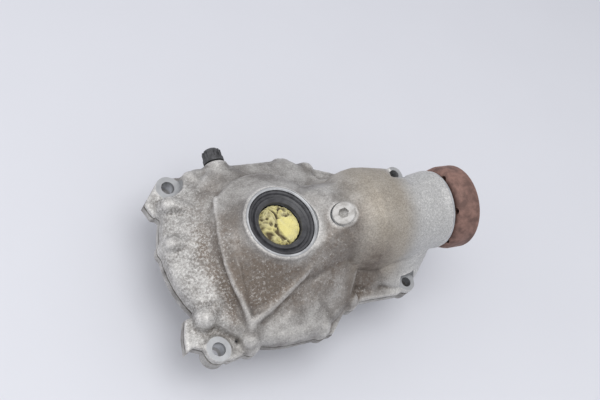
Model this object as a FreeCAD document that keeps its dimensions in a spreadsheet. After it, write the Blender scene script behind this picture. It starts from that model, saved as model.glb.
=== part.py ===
import FreeCAD, Part
import math
import os
import re
import Sketcher

# Front differential. Z is the common axis of the two output shafts, up on the side
# that the photograph shows. X is the pinion axis, towards the input flange. The
# origin lies on the output axis in the end face of the sump spigot, the lowest face.

doc = FreeCAD.newDocument("front_differential")
sheet = doc.addObject("Spreadsheet::Sheet", "sizes")

SIZES = {
    # levels along the output axis, from the spigot's end face
    "diff_level": 64.0, "lug_level": 52.0, "joint_level": 64.0, "sealant_gap": 0.4,
    "pinion_level": 101.0, "seal_level": 123.6, "lug_top_level": 73.0,
    # differential bevel gears
    "side_teeth": 14, "spider_teeth": 10, "spider_module": 3.5, "spider_face": 10.0,
    "side_back": 24.0, "spider_back": 31.0, "washer_wall": 1.0, "cross_pin_radius": 7.5,
    "axle_bore_radius": 15.5, "side_bore_radius": 14.0, "washer_radius": 21.0,
    # ring gear and pinion
    "ring_teeth": 37, "pinion_teeth": 12, "ring_pitch_radius": 74.0, "ring_face": 22.0,
    "ring_back_level": 54.0, "ring_outer_radius": 77.0, "ring_bore_radius": 46.2,
    "backlash": 0.24, "pressure_angle": 25.0,
    "ring_bolt_circle": 64.0, "ring_bolt_count": 10, "ring_bolt_radius": 5.0,
    "ring_bolt_head_radius": 8.0, "ring_bolt_head": 6.5, "ring_bolt_depth": 12.0,
    # differential carrier
    "carrier_radius": 44.0, "carrier_wall": 4.0, "carrier_flange_radius": 72.0,
    "carrier_flange": 8.0, "carrier_cavity_radius": 30.0, "journal_radius": 20.0,
    "journal_length": 18.0, "window_half_width": 17.0, "pilot_height": 6.0,
    "lock_pin_radius": 2.5,
    # carrier bearings, tapered roller
    "bearing_radius": 36.0, "bearing_width": 16.0, "cup_wall": 3.6, "cone_wall": 5.0,
    "cup_slope": 2.6, "cone_slope": 1.8, "carrier_shim": 1.2, "carrier_rollers": 14,
    # pinion bearings
    "head_shoulder": 87.0, "rear_bearing_radius": 33.0, "rear_bearing_width": 18.0,
    "rear_seat_radius": 17.5, "front_bearing_at": 133.0, "front_bearing_radius": 31.0,
    "front_bearing_width": 16.0, "front_seat_radius": 15.0, "pinion_shim": 1.2,
    "pinion_rollers": 12, "running_gap": 0.1, "fit_gap": 0.05,
    # pinion shaft end and input flange
    "spline_radius": 14.2, "flange_web_at": 184.0, "flange_web": 10.0,
    "thread_radius": 12.0, "shaft_end": 207.0, "flange_radius": 41.8, "flange_end": 210.0,
    "hub_radius": 19.5, "flange_recess_radius": 27.0, "flange_bolt_circle": 34.5,
    "flange_bolt_count": 6, "flange_bolt_radius": 3.8, "flange_rounding": 7.0,
    "nut_flat": 18.0, "nut_height": 12.0, "shield_radius": 37.5, "shield_wall": 1.0,
    "shield_at": 180.0,
    # shaft seals
    "seal_radius": 33.5, "seal_width": 10.0, "seal_case_wall": 1.2, "lip_radius": 20.7,
    "lower_seal_depth": 4.0, "pinion_seal_radius": 33.0, "pinion_seal_depth": 4.0,
    # main housing
    "drum_radius": 98.0, "cavity_radius": 80.0, "cavity_shoulder": 71.5, "cavity_top": 94.0,
    "drum_shoulder": 78.0,
    "shoulder_radius": 89.0, "shoulder_level": 85.5, "roof_radius": 50.0,
    "roof_level": 101.0, "flat_side": 87.0, "side_at_shoulder": 81.5, "side_at_roof": 73.0,
    "boss_top_radius": 37.2,
    "cone_foot_radius": 55.0, "cone_foot_level": 107.0, "cone_edge_radius": 97.0,
    "cone_edge_level": 84.0, "rib_height": 3.0, "rib_width": 7.0, "skirt": 6.6,
    "belly_level": 58.0, "belly_start": 99.4, "neck_end": 178.0, "neck_radius": 39.4,
    "neck_waist": 36.5,
    "step_height": 1.6, "seal_shoulder_radius": 31.0,
    # side cover
    "cover_wall": 6.0, "cover_floor_radius": 50.0, "cover_floor_level": 31.0,
    "cover_flange": 7.0, "tub_level": 43.0, "tub_corner": 7.0,
    "cover_rib": 5.0, "spigot_radius": 40.0, "spigot_length": 17.0,
    "o_ring_section": 1.75, "o_ring_level": 9.0, "spigot_chamfer": 1.2,
    # mounting lugs and cover screws
    "big_hole_radius": 6.3, "big_lug_radius": 11.6, "small_hole_radius": 5.0,
    "small_lug_radius": 9.6, "sleeve_wall": 1.4, "sleeve_half": 5.0,
    "screw_radius": 3.9, "screw_hole_radius": 4.0, "screw_head_radius": 6.5,
    "screw_head": 5.5, "screw_length": 20.0, "short_screw_length": 13.0,
    "screw_boss_radius": 8.6,
    "screw_pad_radius": 9.5, "tall_lug_top": 98.5,
    # breather
    "breather_x": -29.0, "breather_level": 85.0, "breather_face": 82.0,
    "breather_boss_radius": 12.0, "breather_tube_radius": 4.0, "breather_bore_radius": 2.2,
    "breather_cap_radius": 10.0, "breather_cap_height": 15.0, "breather_rib": 0.8,
    # filler plug
    "plug_x": 59.0, "plug_y": -6.0, "plug_level": 134.0, "plug_tilt": 38.0,
    "plug_pad_radius": 13.0,
    "plug_pad_rise": 3.0, "plug_radius": 9.0, "plug_length": 11.0, "plug_head_radius": 10.8,
    "plug_head": 2.6, "plug_key_radius": 5.2, "plug_washer": 1.2, "plug_top": 2.0,
    # rag in the open output bore
    "rag_radius": 19.8, "rag_height": 8.0, "rag_stem": 8.0, "rag_clearance": 0.5,
}
for row, (alias, number) in enumerate(SIZES.items(), start=1):
    sheet.set("A%d" % row, alias)
    sheet.set("B%d" % row, repr(number))
    sheet.setAlias("B%d" % row, alias)
doc.recompute()

X_AXIS = FreeCAD.Vector(1, 0, 0)
Y_AXIS = FreeCAD.Vector(0, 1, 0)
Z_AXIS = FreeCAD.Vector(0, 0, 1)


def size(text):
    """The value of a size, or of a sum of sizes, from the sheet."""
    numbers = re.sub(r"[a-z]\w*", lambda word: repr(sheet.get(word.group(0))), text)
    return FreeCAD.Units.Quantity(numbers).Value


def linked(text):
    return re.sub(r"[a-z]\w*", r"sizes.\g<0>", str(text))


# Where a turned or drawn solid stands: along the output axis, or along the pinion axis.
ALONG_Z = FreeCAD.Rotation()
ALONG_X = FreeCAD.Rotation(Y_AXIS, 90)
ALONG_Y = FreeCAD.Rotation(X_AXIS, -90)
ALONG_XZ = FreeCAD.Rotation(X_AXIS, 90) * FreeCAD.Rotation(Z_AXIS, 90)


def place(thing, x="0", y="0", z="0", turn=ALONG_Z):
    thing.Placement = FreeCAD.Placement(FreeCAD.Vector(), turn)
    for letter, text in (("x", x), ("y", y), ("z", z)):
        if str(text) != "0":
            thing.setExpression("Placement.Base." + letter, linked(text))
    return thing


def outline_sketch(body, name, plane, points):
    """A closed outline whose corners are bound to the sheet."""
    sketch = body.newObject("Sketcher::SketchObject", name)
    support = [item for item in body.Origin.OriginFeatures if item.Role == plane][0]
    sketch.AttachmentSupport = [(support, "")]
    sketch.MapMode = "FlatFace"
    corners = [FreeCAD.Vector(float(size(str(a))), float(size(str(b))), 0) for a, b in points]
    count = len(corners)
    for k in range(count):
        sketch.addGeometry(Part.LineSegment(corners[k], corners[(k + 1) % count]), False)
    for k in range(count):
        sketch.addConstraint(Sketcher.Constraint("Coincident", k, 2, (k + 1) % count, 1))
    for k, (across, up) in enumerate(points):
        for kind, text, number in (("DistanceX", across, corners[k].x),
                                   ("DistanceY", up, corners[k].y)):
            index = sketch.addConstraint(Sketcher.Constraint(kind, -1, 1, k, 1, number))
            if re.search("[a-z]", str(text)):
                sketch.setExpression("Constraints[%d]" % index, linked(text))
    return sketch


def turned(name, points, **where):
    """A solid of revolution; points are (radius, height) along its own axis."""
    body = doc.addObject("PartDesign::Body", name)
    sketch = outline_sketch(body, name + "_profile", "XZ_Plane", points)
    turn = body.newObject("PartDesign::Revolution", name + "_turn")
    turn.Profile = sketch
    turn.ReferenceAxis = (sketch, ["V_Axis"])
    turn.Angle = 360
    sketch.Visibility = False
    return place(body, **where)


def slab(name, points, thickness, **where):
    """A flat plate drawn in plan and padded upwards."""
    body = doc.addObject("PartDesign::Body", name)
    sketch = outline_sketch(body, name + "_plan", "XY_Plane", points)
    pad = body.newObject("PartDesign::Pad", name + "_pad")
    pad.Profile = sketch
    pad.setExpression("Length", linked(thickness))
    return place(body, **where)


def rod(name, radius, height, **where):
    cylinder = doc.addObject("Part::Cylinder", name)
    cylinder.setExpression("Radius", linked(radius))
    cylinder.setExpression("Height", linked(height))
    return place(cylinder, **where)


def block(name, length, width, height, **where):
    box = doc.addObject("Part::Box", name)
    box.setExpression("Length", linked(length))
    box.setExpression("Width", linked(width))
    box.setExpression("Height", linked(height))
    return place(box, **where)


def joined(name, things):
    fuse = doc.addObject("Part::MultiFuse", name)
    fuse.Shapes = things
    return fuse


def shared(name, things):
    common = doc.addObject("Part::MultiCommon", name)
    common.Shapes = things
    return common


def less(name, base, tools):
    cut = doc.addObject("Part::Cut", name)
    cut.Base = base
    cut.Tool = tools[0] if len(tools) == 1 else joined(name + "_tools", tools)
    return cut


def group(name, things):
    """Several separate solids in one node, such as a set of screws."""
    compound = doc.addObject("Part::Compound", name)
    compound.Links = things
    return compound


def shaped(name, shape, **where):
    feature = doc.addObject("Part::Feature", name)
    feature.Shape = shape
    return place(feature, **where)


NODES = []


def node(thing, label):
    thing.Label = label
    NODES.append(thing)
    return thing


# Bevel gears. Both gears of a pair share the apex, where their axes cross, so every
# tooth tapers to it. A tooth's flanks are involutes on the back cone.

ADDENDUM = 0.75
DEDENDUM = 0.95
FLANK_STEPS = 4


def back_cone_point(cone, pitch_radius, rise, azimuth):
    """A point at a height above the pitch circle on the back cone, apex at the origin."""
    radius = pitch_radius + rise * math.cos(cone)
    depth = pitch_radius / math.tan(cone) - rise * math.sin(cone)
    return FreeCAD.Vector(radius * math.cos(azimuth), radius * math.sin(azimuth), depth)


def tooth_space(teeth, mate_teeth, module, face, turn):
    """The cutter for one space between two teeth, centred on the azimuth turn."""
    cone = math.atan2(teeth, mate_teeth)
    pitch_radius = module * teeth / 2
    distance = pitch_radius / math.sin(cone)
    virtual_radius = pitch_radius / math.cos(cone)
    virtual_teeth = teeth / math.cos(cone)
    pressure = math.radians(size("pressure_angle"))
    base_radius = virtual_radius * math.cos(pressure)
    root = virtual_radius - DEDENDUM * module
    tip = virtual_radius + (ADDENDUM + 0.3) * module

    def half_space(radius):
        rolled = math.acos(min(1.0, base_radius / radius))
        thinned = size("backlash") / (2 * virtual_radius)
        half_tooth = (math.pi / (2 * virtual_teeth) - thinned
                      + math.tan(pressure) - pressure - math.tan(rolled) + rolled)
        return math.pi / virtual_teeth - half_tooth

    start = max(root, base_radius)
    radii = [start + (tip - start) * k / FLANK_STEPS for k in range(FLANK_STEPS + 1)]
    if root < base_radius:
        radii.insert(0, root)
    flank = [(radius - virtual_radius, half_space(radius) / math.cos(cone)) for radius in radii]
    section = [back_cone_point(cone, pitch_radius, rise, turn - half) for rise, half in flank]
    section += [back_cone_point(cone, pitch_radius, rise, turn + half)
                for rise, half in reversed(flank)]
    middle = back_cone_point(cone, pitch_radius, 0, turn)
    normal = FreeCAD.Vector(middle)
    normal.normalize()
    flat = [point * (distance / point.dot(normal)) for point in section]
    ends = []
    for scale in (1.04, 1 - (face + 3) / distance):
        ends.append(Part.makePolygon([p * scale for p in flat] + [flat[0] * scale]))
    return Part.makeLoft(ends, True, True)


def bevel_gear(teeth, mate_teeth, module, face, body_points, clocking):
    """A gear whose axis is +Z and whose apex is the origin, teeth turned to the apex."""
    cone = math.atan2(teeth, mate_teeth)
    pitch_radius = module * teeth / 2
    inner = 1 - face / (pitch_radius / math.sin(cone))
    tip = back_cone_point(cone, pitch_radius, ADDENDUM * module, 0)
    root = back_cone_point(cone, pitch_radius, -DEDENDUM * module, 0)
    profile = [(tip.x * inner, tip.z * inner), (tip.x, tip.z), (root.x, root.z)] + body_points
    profile = [FreeCAD.Vector(radius, 0, height) for radius, height in profile]
    blank = Part.Face(Part.makePolygon(profile + [profile[0]])).revolve(
        FreeCAD.Vector(), Z_AXIS, 360)
    pitch = 2 * math.pi / teeth
    spaces = [tooth_space(teeth, mate_teeth, module, face, clocking + k * pitch)
              for k in range(teeth)]
    return blank.cut(Part.makeCompound(spaces))


# The ring gear is a steel ring bolted to the carrier, teeth facing up at the pinion.

ring_module = 2 * size("ring_pitch_radius") / size("ring_teeth")
ring_depth = size("pinion_level - ring_back_level")
ring_seat = size("ring_bore_radius")
ring_outer = size("ring_outer_radius")
ring_teeth = int(size("ring_teeth"))
pinion_teeth = int(size("pinion_teeth"))
pinion_pitch_radius = ring_module * pinion_teeth / 2
ring_body = [(ring_outer, pinion_pitch_radius + 5.0), (ring_outer, ring_depth),
             (ring_seat, ring_depth), (ring_seat, pinion_pitch_radius - 2.0)]
ring_shape = bevel_gear(ring_teeth, pinion_teeth, ring_module, size("ring_face"), ring_body, 0.0)
ring_shape.rotate(FreeCAD.Vector(), X_AXIS, 180)
ring_screw_angles = [2 * math.pi * k / size("ring_bolt_count")
                     for k in range(int(size("ring_bolt_count")))]
ring_holes = []
for angle in ring_screw_angles:
    spot = FreeCAD.Vector(math.cos(angle), math.sin(angle), 0) * size("ring_bolt_circle")
    spot.z = -ring_depth
    ring_holes.append(Part.makeCylinder(size("ring_bolt_radius + fit_gap"),
                                        size("ring_bolt_depth"), spot))
ring_gear = node(shaped("ring_gear", ring_shape.cut(Part.makeCompound(ring_holes)),
                        z="pinion_level"), "ring_gear")

# The pinion is forged in one piece with its shaft; its thread carries the flange nut.

pinion_cone = math.atan2(pinion_teeth, ring_teeth)
head_back = size("head_shoulder")
pinion_face = 1 - size("ring_face") / math.hypot(size("ring_pitch_radius"), pinion_pitch_radius)
pinion_tip = back_cone_point(pinion_cone, pinion_pitch_radius, ADDENDUM * ring_module, 0)
head_radius = size("rear_seat_radius") + 3.5
shaft_steps = [(head_radius, size("ring_pitch_radius") + 3.0), (head_radius, head_back),
               (size("rear_seat_radius"), head_back),
               (size("rear_seat_radius"), size("head_shoulder + rear_bearing_width + 4")),
               (size("front_seat_radius"), size("head_shoulder + rear_bearing_width + 6")),
               (size("front_seat_radius"), size("front_bearing_at + front_bearing_width - 1.2")),
               (size("spline_radius"), size("front_bearing_at + front_bearing_width - 0.4")),
               (size("spline_radius"), size("flange_web_at + flange_web - 2")),
               (size("thread_radius"), size("flange_web_at + flange_web - 1")),
               (size("thread_radius"), size("shaft_end - 1.5")),
               (size("thread_radius - 1.5"), size("shaft_end")),
               (0.0, size("shaft_end")), (0.0, pinion_tip.z * pinion_face + 2.5),
               (pinion_tip.x * pinion_face - 6.5, pinion_tip.z * pinion_face + 2.5)]
pinion_shape = bevel_gear(pinion_teeth, ring_teeth, ring_module, size("ring_face"), shaft_steps,
                          math.pi / pinion_teeth)
node(shaped("pinion_shaft", pinion_shape, z="pinion_level", turn=ALONG_X), "pinion_shaft")

# Two side gears take the output shafts; two spiders on the cross pin mesh with both.

spider_module = size("spider_module")
side_teeth = int(size("side_teeth"))
spider_teeth = int(size("spider_teeth"))
side_bore = size("side_bore_radius")
pin_bore = size("cross_pin_radius + running_gap / 2")


def differential_gear(teeth, mate_teeth, back, bore, clocking):
    hub = size("washer_radius")
    cone = math.atan2(teeth, mate_teeth)
    pitch_radius = spider_module * teeth / 2
    inner = 1 - size("spider_face") / (pitch_radius / math.sin(cone))
    tip = back_cone_point(cone, pitch_radius, ADDENDUM * spider_module, 0)
    root = back_cone_point(cone, pitch_radius, -DEDENDUM * spider_module, 0)
    waist = min(hub, root.x - 0.6)
    body = [(waist, root.z + 1.6), (waist, back), (bore, back), (bore, tip.z * inner + 0.8)]
    return bevel_gear(teeth, mate_teeth, spider_module, size("spider_face"), body, clocking)


side_shape = differential_gear(side_teeth, spider_teeth, size("side_back"), side_bore, 0.0)
spider_shape = differential_gear(spider_teeth, side_teeth, size("spider_back"), pin_bore,
                                 math.pi / spider_teeth)
quarter = FreeCAD.Rotation(Z_AXIS, 90)
half_turn = FreeCAD.Rotation(X_AXIS, 180)
node(shaped("side_gear_upper", side_shape, z="diff_level", turn=quarter), "side_gear_upper")
node(shaped("side_gear_lower", side_shape, z="diff_level", turn=half_turn * quarter),
     "side_gear_lower")
node(shaped("spider_gear_front", spider_shape, z="diff_level", turn=ALONG_Y * quarter),
     "spider_gear_front")
node(shaped("spider_gear_rear", spider_shape, z="diff_level",
            turn=FreeCAD.Rotation(X_AXIS, 90) * quarter), "spider_gear_rear")

# Bronze thrust washers keep the gears off the carrier.

side_washer = [("side_bore_radius + 2", "side_back"), ("washer_radius", "side_back"),
               ("washer_radius", "side_back + washer_wall"),
               ("side_bore_radius + 2", "side_back + washer_wall")]
spider_washer = [("cross_pin_radius + 0.3", "spider_back + 0.1"),
                 ("washer_radius - 5", "spider_back + 0.1"),
                 ("washer_radius - 5", "spider_back + 0.1 + washer_wall"),
                 ("cross_pin_radius + 0.3", "spider_back + 0.1 + washer_wall")]
for label, points, turn in (("side_washer_upper", side_washer, ALONG_Z),
                            ("side_washer_lower", side_washer, half_turn),
                            ("spider_washer_front", spider_washer, ALONG_Y),
                            ("spider_washer_rear", spider_washer,
                             FreeCAD.Rotation(X_AXIS, 90))):
    node(turned(label, points, z="diff_level", turn=turn), label)

# The carrier is a ductile iron case with two windows, turned on its two journals.

journal_foot = "(side_back + washer_wall + 0.1 + carrier_wall)"
carrier_turned = turned("carrier_turned", [
    ("axle_bore_radius", "-%s - journal_length" % journal_foot),
    ("journal_radius", "-%s - journal_length" % journal_foot),
    ("journal_radius", "-" + journal_foot), ("carrier_radius - 6", "-" + journal_foot),
    ("carrier_radius", "-%s + 6" % journal_foot),
    ("carrier_radius", "ring_back_level - carrier_flange - diff_level"),
    ("carrier_flange_radius", "ring_back_level - carrier_flange - diff_level"),
    ("carrier_flange_radius", "ring_back_level - diff_level"),
    ("ring_bore_radius - fit_gap", "ring_back_level - diff_level"),
    ("ring_bore_radius - fit_gap", "ring_back_level - diff_level + pilot_height"),
    ("carrier_radius", "ring_back_level - diff_level + pilot_height + 2"),
    ("carrier_radius", journal_foot + " - 6"), ("carrier_radius - 6", journal_foot),
    ("journal_radius", journal_foot), ("journal_radius", journal_foot + " + journal_length"),
    ("axle_bore_radius", journal_foot + " + journal_length"),
], z="diff_level")
inner_top = "(side_back + washer_wall + 0.1)"
carrier_hollow = turned("carrier_hollow", [
    ("0", "-" + inner_top), ("carrier_cavity_radius", "-" + inner_top),
    ("carrier_cavity_radius", inner_top), ("0", inner_top),
], z="diff_level")
spider_seat = rod("spider_seat", "washer_radius", "2 * (spider_back + washer_wall + 0.2)",
                  y="-(spider_back + washer_wall + 0.2)", z="diff_level", turn=ALONG_Y)
pin_hole = rod("pin_hole", "cross_pin_radius", "2 * carrier_radius + 2",
               y="-carrier_radius - 1", z="diff_level", turn=ALONG_Y)
lock_hole = rod("lock_hole", "lock_pin_radius", "carrier_wall + 15",
                x="0", y="carrier_radius - 5.5", z="diff_level - 1")
window = block("window", "2 * carrier_radius + 2", "2 * window_half_width",
               "2 * window_half_width + 4", x="-carrier_radius - 1", y="-window_half_width",
               z="ring_back_level + pilot_height + 1")
carrier_tools = [carrier_hollow, spider_seat, pin_hole, lock_hole, window]
for k, angle in enumerate(ring_screw_angles):
    hole = rod("flange_hole_%d" % k, "ring_bolt_radius + fit_gap", "carrier_flange + 2",
               z="ring_back_level - carrier_flange - 1")
    hole.setExpression("Placement.Base.x",
                       "sizes.ring_bolt_circle * cos(360 * %d / sizes.ring_bolt_count)" % k)
    hole.setExpression("Placement.Base.y",
                       "sizes.ring_bolt_circle * sin(360 * %d / sizes.ring_bolt_count)" % k)
    carrier_tools.append(hole)
node(less("diff_carrier", carrier_turned, carrier_tools), "diff_carrier")

cross_pin_bar = rod("cross_pin_bar", "cross_pin_radius - 0.02", "2 * carrier_radius - 2",
                    y="-carrier_radius + 1", z="diff_level", turn=ALONG_Y)
cross_pin_drilling = rod("cross_pin_drilling", "lock_pin_radius", "carrier_wall + 15",
                         y="carrier_radius - 5.5", z="diff_level - 1 - carrier_wall")
node(less("cross_pin", cross_pin_bar, [cross_pin_drilling]), "cross_pin")
node(rod("cross_pin_lock", "lock_pin_radius - 0.02", "carrier_wall + 8",
         y="carrier_radius - 5.5", z="diff_level - 1"), "cross_pin_lock")


def screw(name, radius, head_radius, head, shank, **where):
    """A flange-head screw, its shank up and the underside of its head at height 0."""
    return turned(name, [("0", "-(%s)" % head), (head_radius + " * 0.86", "-(%s)" % head),
                         (head_radius + " * 0.86", "-1.6"), (head_radius, "-1.2"),
                         (head_radius, "0"), (radius, "0"), (radius, "%s - 1" % shank),
                         (radius + " - 1", shank), ("0", shank)], **where)


ring_screws = []
for k, angle in enumerate(ring_screw_angles):
    bolt = screw("ring_screw_%d" % k, "ring_bolt_radius", "ring_bolt_head_radius",
                 "ring_bolt_head", "(carrier_flange + ring_bolt_depth - 2)",
                 z="ring_back_level - carrier_flange")
    bolt.setExpression("Placement.Base.x",
                       "sizes.ring_bolt_circle * cos(360 * %d / sizes.ring_bolt_count)" % k)
    bolt.setExpression("Placement.Base.y",
                       "sizes.ring_bolt_circle * sin(360 * %d / sizes.ring_bolt_count)" % k)
    ring_screws.append(bolt)
node(group("ring_gear_screws", ring_screws), "ring_gear_screws")


# Tapered roller bearings: an outer cup, an inner cone, the rollers and their cage.

def tapered_bearing(name, bore, outside, width, rollers, **where):
    """The bearing stands on its small end; the rollers lean outwards going up."""
    cup_low = "(%s) - cup_wall - cup_slope" % outside
    cup_high = "(%s) - cup_wall + cup_slope" % outside
    cone_low = "(%s) + cone_wall - cone_slope" % bore
    cone_high = "(%s) + cone_wall + cone_slope" % bore
    cup = turned(name + "_outer_race", [
        (outside, "0"), (outside, width), (cup_high, width), (cup_low, "0"),
    ], **where)
    cone = turned(name + "_inner_race", [
        (bore, "0"), (cone_low, "0"), (cone_high, width), (bore, width),
    ], **where)
    deep = size(width)
    low_in, low_out = size(cone_low), size(cup_low)
    high_in, high_out = size(cone_high), size(cup_high)
    clear = size("running_gap")
    margin = 0.12
    lift = [margin * deep, (1 - margin) * deep]
    inner = [low_in + (high_in - low_in) * h / deep + clear for h in lift]
    outer = [low_out + (high_out - low_out) * h / deep - clear for h in lift]
    lean = math.atan2((inner[1] + outer[1] - inner[0] - outer[0]) / 2, lift[1] - lift[0])
    centre = [(inner[k] + outer[k]) / 2 for k in (0, 1)]
    radius = [(outer[k] - inner[k]) / 2 * math.cos(lean) for k in (0, 1)]
    long = math.hypot(centre[1] - centre[0], lift[1] - lift[0])
    direction = FreeCAD.Vector(math.sin(lean), 0, math.cos(lean))
    foot = FreeCAD.Vector(centre[0], 0, lift[0])
    one = Part.makeCone(radius[0], radius[1], long, foot, direction)
    pocket = Part.makeCone(radius[0] + 0.2, radius[1] + 0.2, long + 0.6, foot - direction * 0.3,
                           direction)
    ring = [FreeCAD.Vector(centre[0] - 0.7, 0, lift[0] - 1.2),
            FreeCAD.Vector(centre[0] + 0.7, 0, lift[0] - 1.2),
            FreeCAD.Vector(centre[1] + 0.7, 0, lift[1] + 1.2),
            FreeCAD.Vector(centre[1] - 0.7, 0, lift[1] + 1.2)]
    cage = Part.Face(Part.makePolygon(ring + [ring[0]])).revolve(FreeCAD.Vector(), Z_AXIS, 360)
    bodies, pockets = [], []
    for k in range(int(rollers)):
        turn = 360.0 * k / int(rollers)
        for shape, kept in ((one, bodies), (pocket, pockets)):
            copy = shape.copy()
            copy.rotate(FreeCAD.Vector(), Z_AXIS, turn)
            kept.append(copy)
    cage = cage.cut(Part.makeCompound(pockets))
    node(cup, name + "_outer_race")
    node(cone, name + "_inner_race")
    node(shaped(name + "_rollers", Part.makeCompound(bodies), **where), name + "_rollers")
    node(shaped(name + "_cage", cage, **where), name + "_cage")


tapered_bearing("upper_bearing", "journal_radius", "bearing_radius", "bearing_width",
                size("carrier_rollers"), z="diff_level + side_back + washer_wall"
                " + 0.1 + carrier_wall + bearing_width", turn=half_turn)
tapered_bearing("lower_bearing", "journal_radius", "bearing_radius", "bearing_width",
                size("carrier_rollers"), z="diff_level - side_back - washer_wall"
                " - 0.1 - carrier_wall - bearing_width")
tapered_bearing("rear_pinion_bearing", "rear_seat_radius", "rear_bearing_radius",
                "rear_bearing_width", size("pinion_rollers"),
                x="head_shoulder + rear_bearing_width", z="pinion_level",
                turn=FreeCAD.Rotation(Y_AXIS, -90))
tapered_bearing("front_pinion_bearing", "front_seat_radius", "front_bearing_radius",
                "front_bearing_width", size("pinion_rollers"),
                x="front_bearing_at", z="pinion_level", turn=ALONG_X)

# Shims set the bearing preload; the crush sleeve spaces the two pinion bearings.

node(turned("carrier_shim", [
    ("journal_radius + 7", "-carrier_shim"), ("bearing_radius", "-carrier_shim"),
    ("bearing_radius", "0"), ("journal_radius + 7", "0"),
], z="diff_level - side_back - washer_wall - 0.1 - carrier_wall - bearing_width"), "carrier_shim")
node(turned("pinion_shim", [
    ("rear_bearing_radius - 4.5", "0"), ("rear_bearing_radius", "0"),
    ("rear_bearing_radius", "pinion_shim"), ("rear_bearing_radius - 4.5", "pinion_shim"),
], x="head_shoulder + rear_bearing_width", z="pinion_level", turn=ALONG_X), "pinion_shim")
sleeve_end = "(front_bearing_at - head_shoulder - rear_bearing_width)"
node(turned("crush_sleeve", [
    ("rear_seat_radius + 0.2", "0"), ("rear_seat_radius + 2.4", "0"),
    ("rear_seat_radius + 2.4", "7"), ("front_seat_radius + 6", "0.5 * %s" % sleeve_end),
    ("front_seat_radius + 2.4", sleeve_end + " - 6"), ("front_seat_radius + 2.4", sleeve_end),
    ("front_seat_radius + 0.2", sleeve_end), ("front_seat_radius + 0.2", sleeve_end + " - 5"),
    ("front_seat_radius + 3.8", "0.5 * %s" % sleeve_end), ("rear_seat_radius + 0.2", "6.5"),
], x="head_shoulder + rear_bearing_width", z="pinion_level", turn=ALONG_X), "crush_sleeve")

# The input flange is a thick turned disc on a hub that runs in the pinion seal. Its
# cup takes the nut, and its face takes the propeller shaft's bolts.

hub_foot = "(front_bearing_at + front_bearing_width - flange_web_at)"
flange_front = "(flange_end - flange_web_at)"
flange_turned = turned("flange_turned", [
    ("spline_radius + fit_gap", hub_foot), ("hub_radius - 1", hub_foot),
    ("hub_radius", hub_foot + " + 1"), ("hub_radius", "-2"), ("hub_radius + 5", "0"),
    ("flange_radius - 2.5", "0"), ("flange_radius", flange_front + " * 0.35"),
    ("flange_radius", flange_front), ("flange_recess_radius + 1.5", flange_front),
    ("flange_recess_radius", flange_front + " - 1.5"), ("flange_recess_radius", "flange_web"),
    ("spline_radius + fit_gap", "flange_web"),
], x="flange_web_at", z="pinion_level", turn=ALONG_X)
doc.recompute()


def round_corner(body, feature, radius, corners, name):
    """Rounds the circular edges of a turned body that pass through given corners."""
    edges = []
    for k, edge in enumerate(feature.Shape.Edges, start=1):
        box = edge.BoundBox
        for corner_radius, height in corners:
            if (abs(box.ZMin - height) < 0.01 and abs(box.ZMax - height) < 0.01
                    and abs(box.XMax - corner_radius) < 0.01):
                edges.append("Edge%d" % k)
    rounding = body.newObject("PartDesign::Fillet", name)
    rounding.Base = (feature, edges)
    rounding.setExpression("Radius", linked(radius))
    return rounding


round_corner(flange_turned, flange_turned.Tip, "flange_rounding",
             [(size("flange_radius - 2.5"), 0.0)], "flange_back_rounding")
doc.recompute()
round_corner(flange_turned, flange_turned.Tip, "flange_rounding * 0.4",
             [(size("flange_radius"), size(flange_front))], "flange_front_rounding")
flange_holes = []
for k in range(int(size("flange_bolt_count"))):
    hole = rod("flange_bolt_hole_%d" % k, "flange_bolt_radius", "flange_end - flange_web_at + 2",
               x="flange_web_at - 1", turn=ALONG_X)
    angle = "360 * %d / sizes.flange_bolt_count" % k
    hole.setExpression("Placement.Base.y", "sizes.flange_bolt_circle * cos(%s)" % angle)
    hole.setExpression("Placement.Base.z", "sizes.pinion_level + sizes.flange_bolt_circle"
                       " * sin(%s)" % angle)
    flange_holes.append(hole)
node(less("input_flange", flange_turned, flange_holes), "input_flange")

nut_blank = doc.addObject("Part::Prism", "nut_blank")
nut_blank.Polygon = 6
nut_blank.setExpression("Circumradius", linked("nut_flat") + " / cos(30)")
nut_blank.setExpression("Height", linked("nut_height"))
place(nut_blank, x="flange_web_at + flange_web", z="pinion_level", turn=ALONG_X)
nut_crown = turned("nut_crown", [
    ("thread_radius", "0"), ("nut_flat + 5", "0"), ("nut_flat + 5", "3"),
    ("nut_flat + 1.2", "nut_height - 1.5"), ("nut_flat - 1.5", "nut_height"),
    ("thread_radius", "nut_height"),
], x="flange_web_at + flange_web", z="pinion_level", turn=ALONG_X)
nut_washer = turned("nut_washer_face", [
    ("thread_radius", "0"), ("nut_flat + 4.5", "0"), ("nut_flat + 4.5", "1.8"),
    ("thread_radius", "1.8"),
], x="flange_web_at + flange_web", z="pinion_level", turn=ALONG_X)
node(joined("pinion_nut", [shared("nut_hexagon", [nut_blank, nut_crown]), nut_washer]),
     "pinion_nut")

node(turned("dust_shield", [
    ("hub_radius", "0"), ("shield_radius", "0"), ("shield_radius + 0.8", "-1.5"),
    ("shield_radius + 0.8", "0.6"), ("shield_radius", "shield_wall"),
    ("hub_radius + 1", "shield_wall"), ("hub_radius + 1", "shield_wall + 0.8"),
    ("hub_radius", "shield_wall + 0.8"),
], x="shield_at", z="pinion_level", turn=ALONG_X), "dust_shield")


# Shaft seals: a pressed steel case with a bright rim, and the rubber bonded into it.

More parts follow.
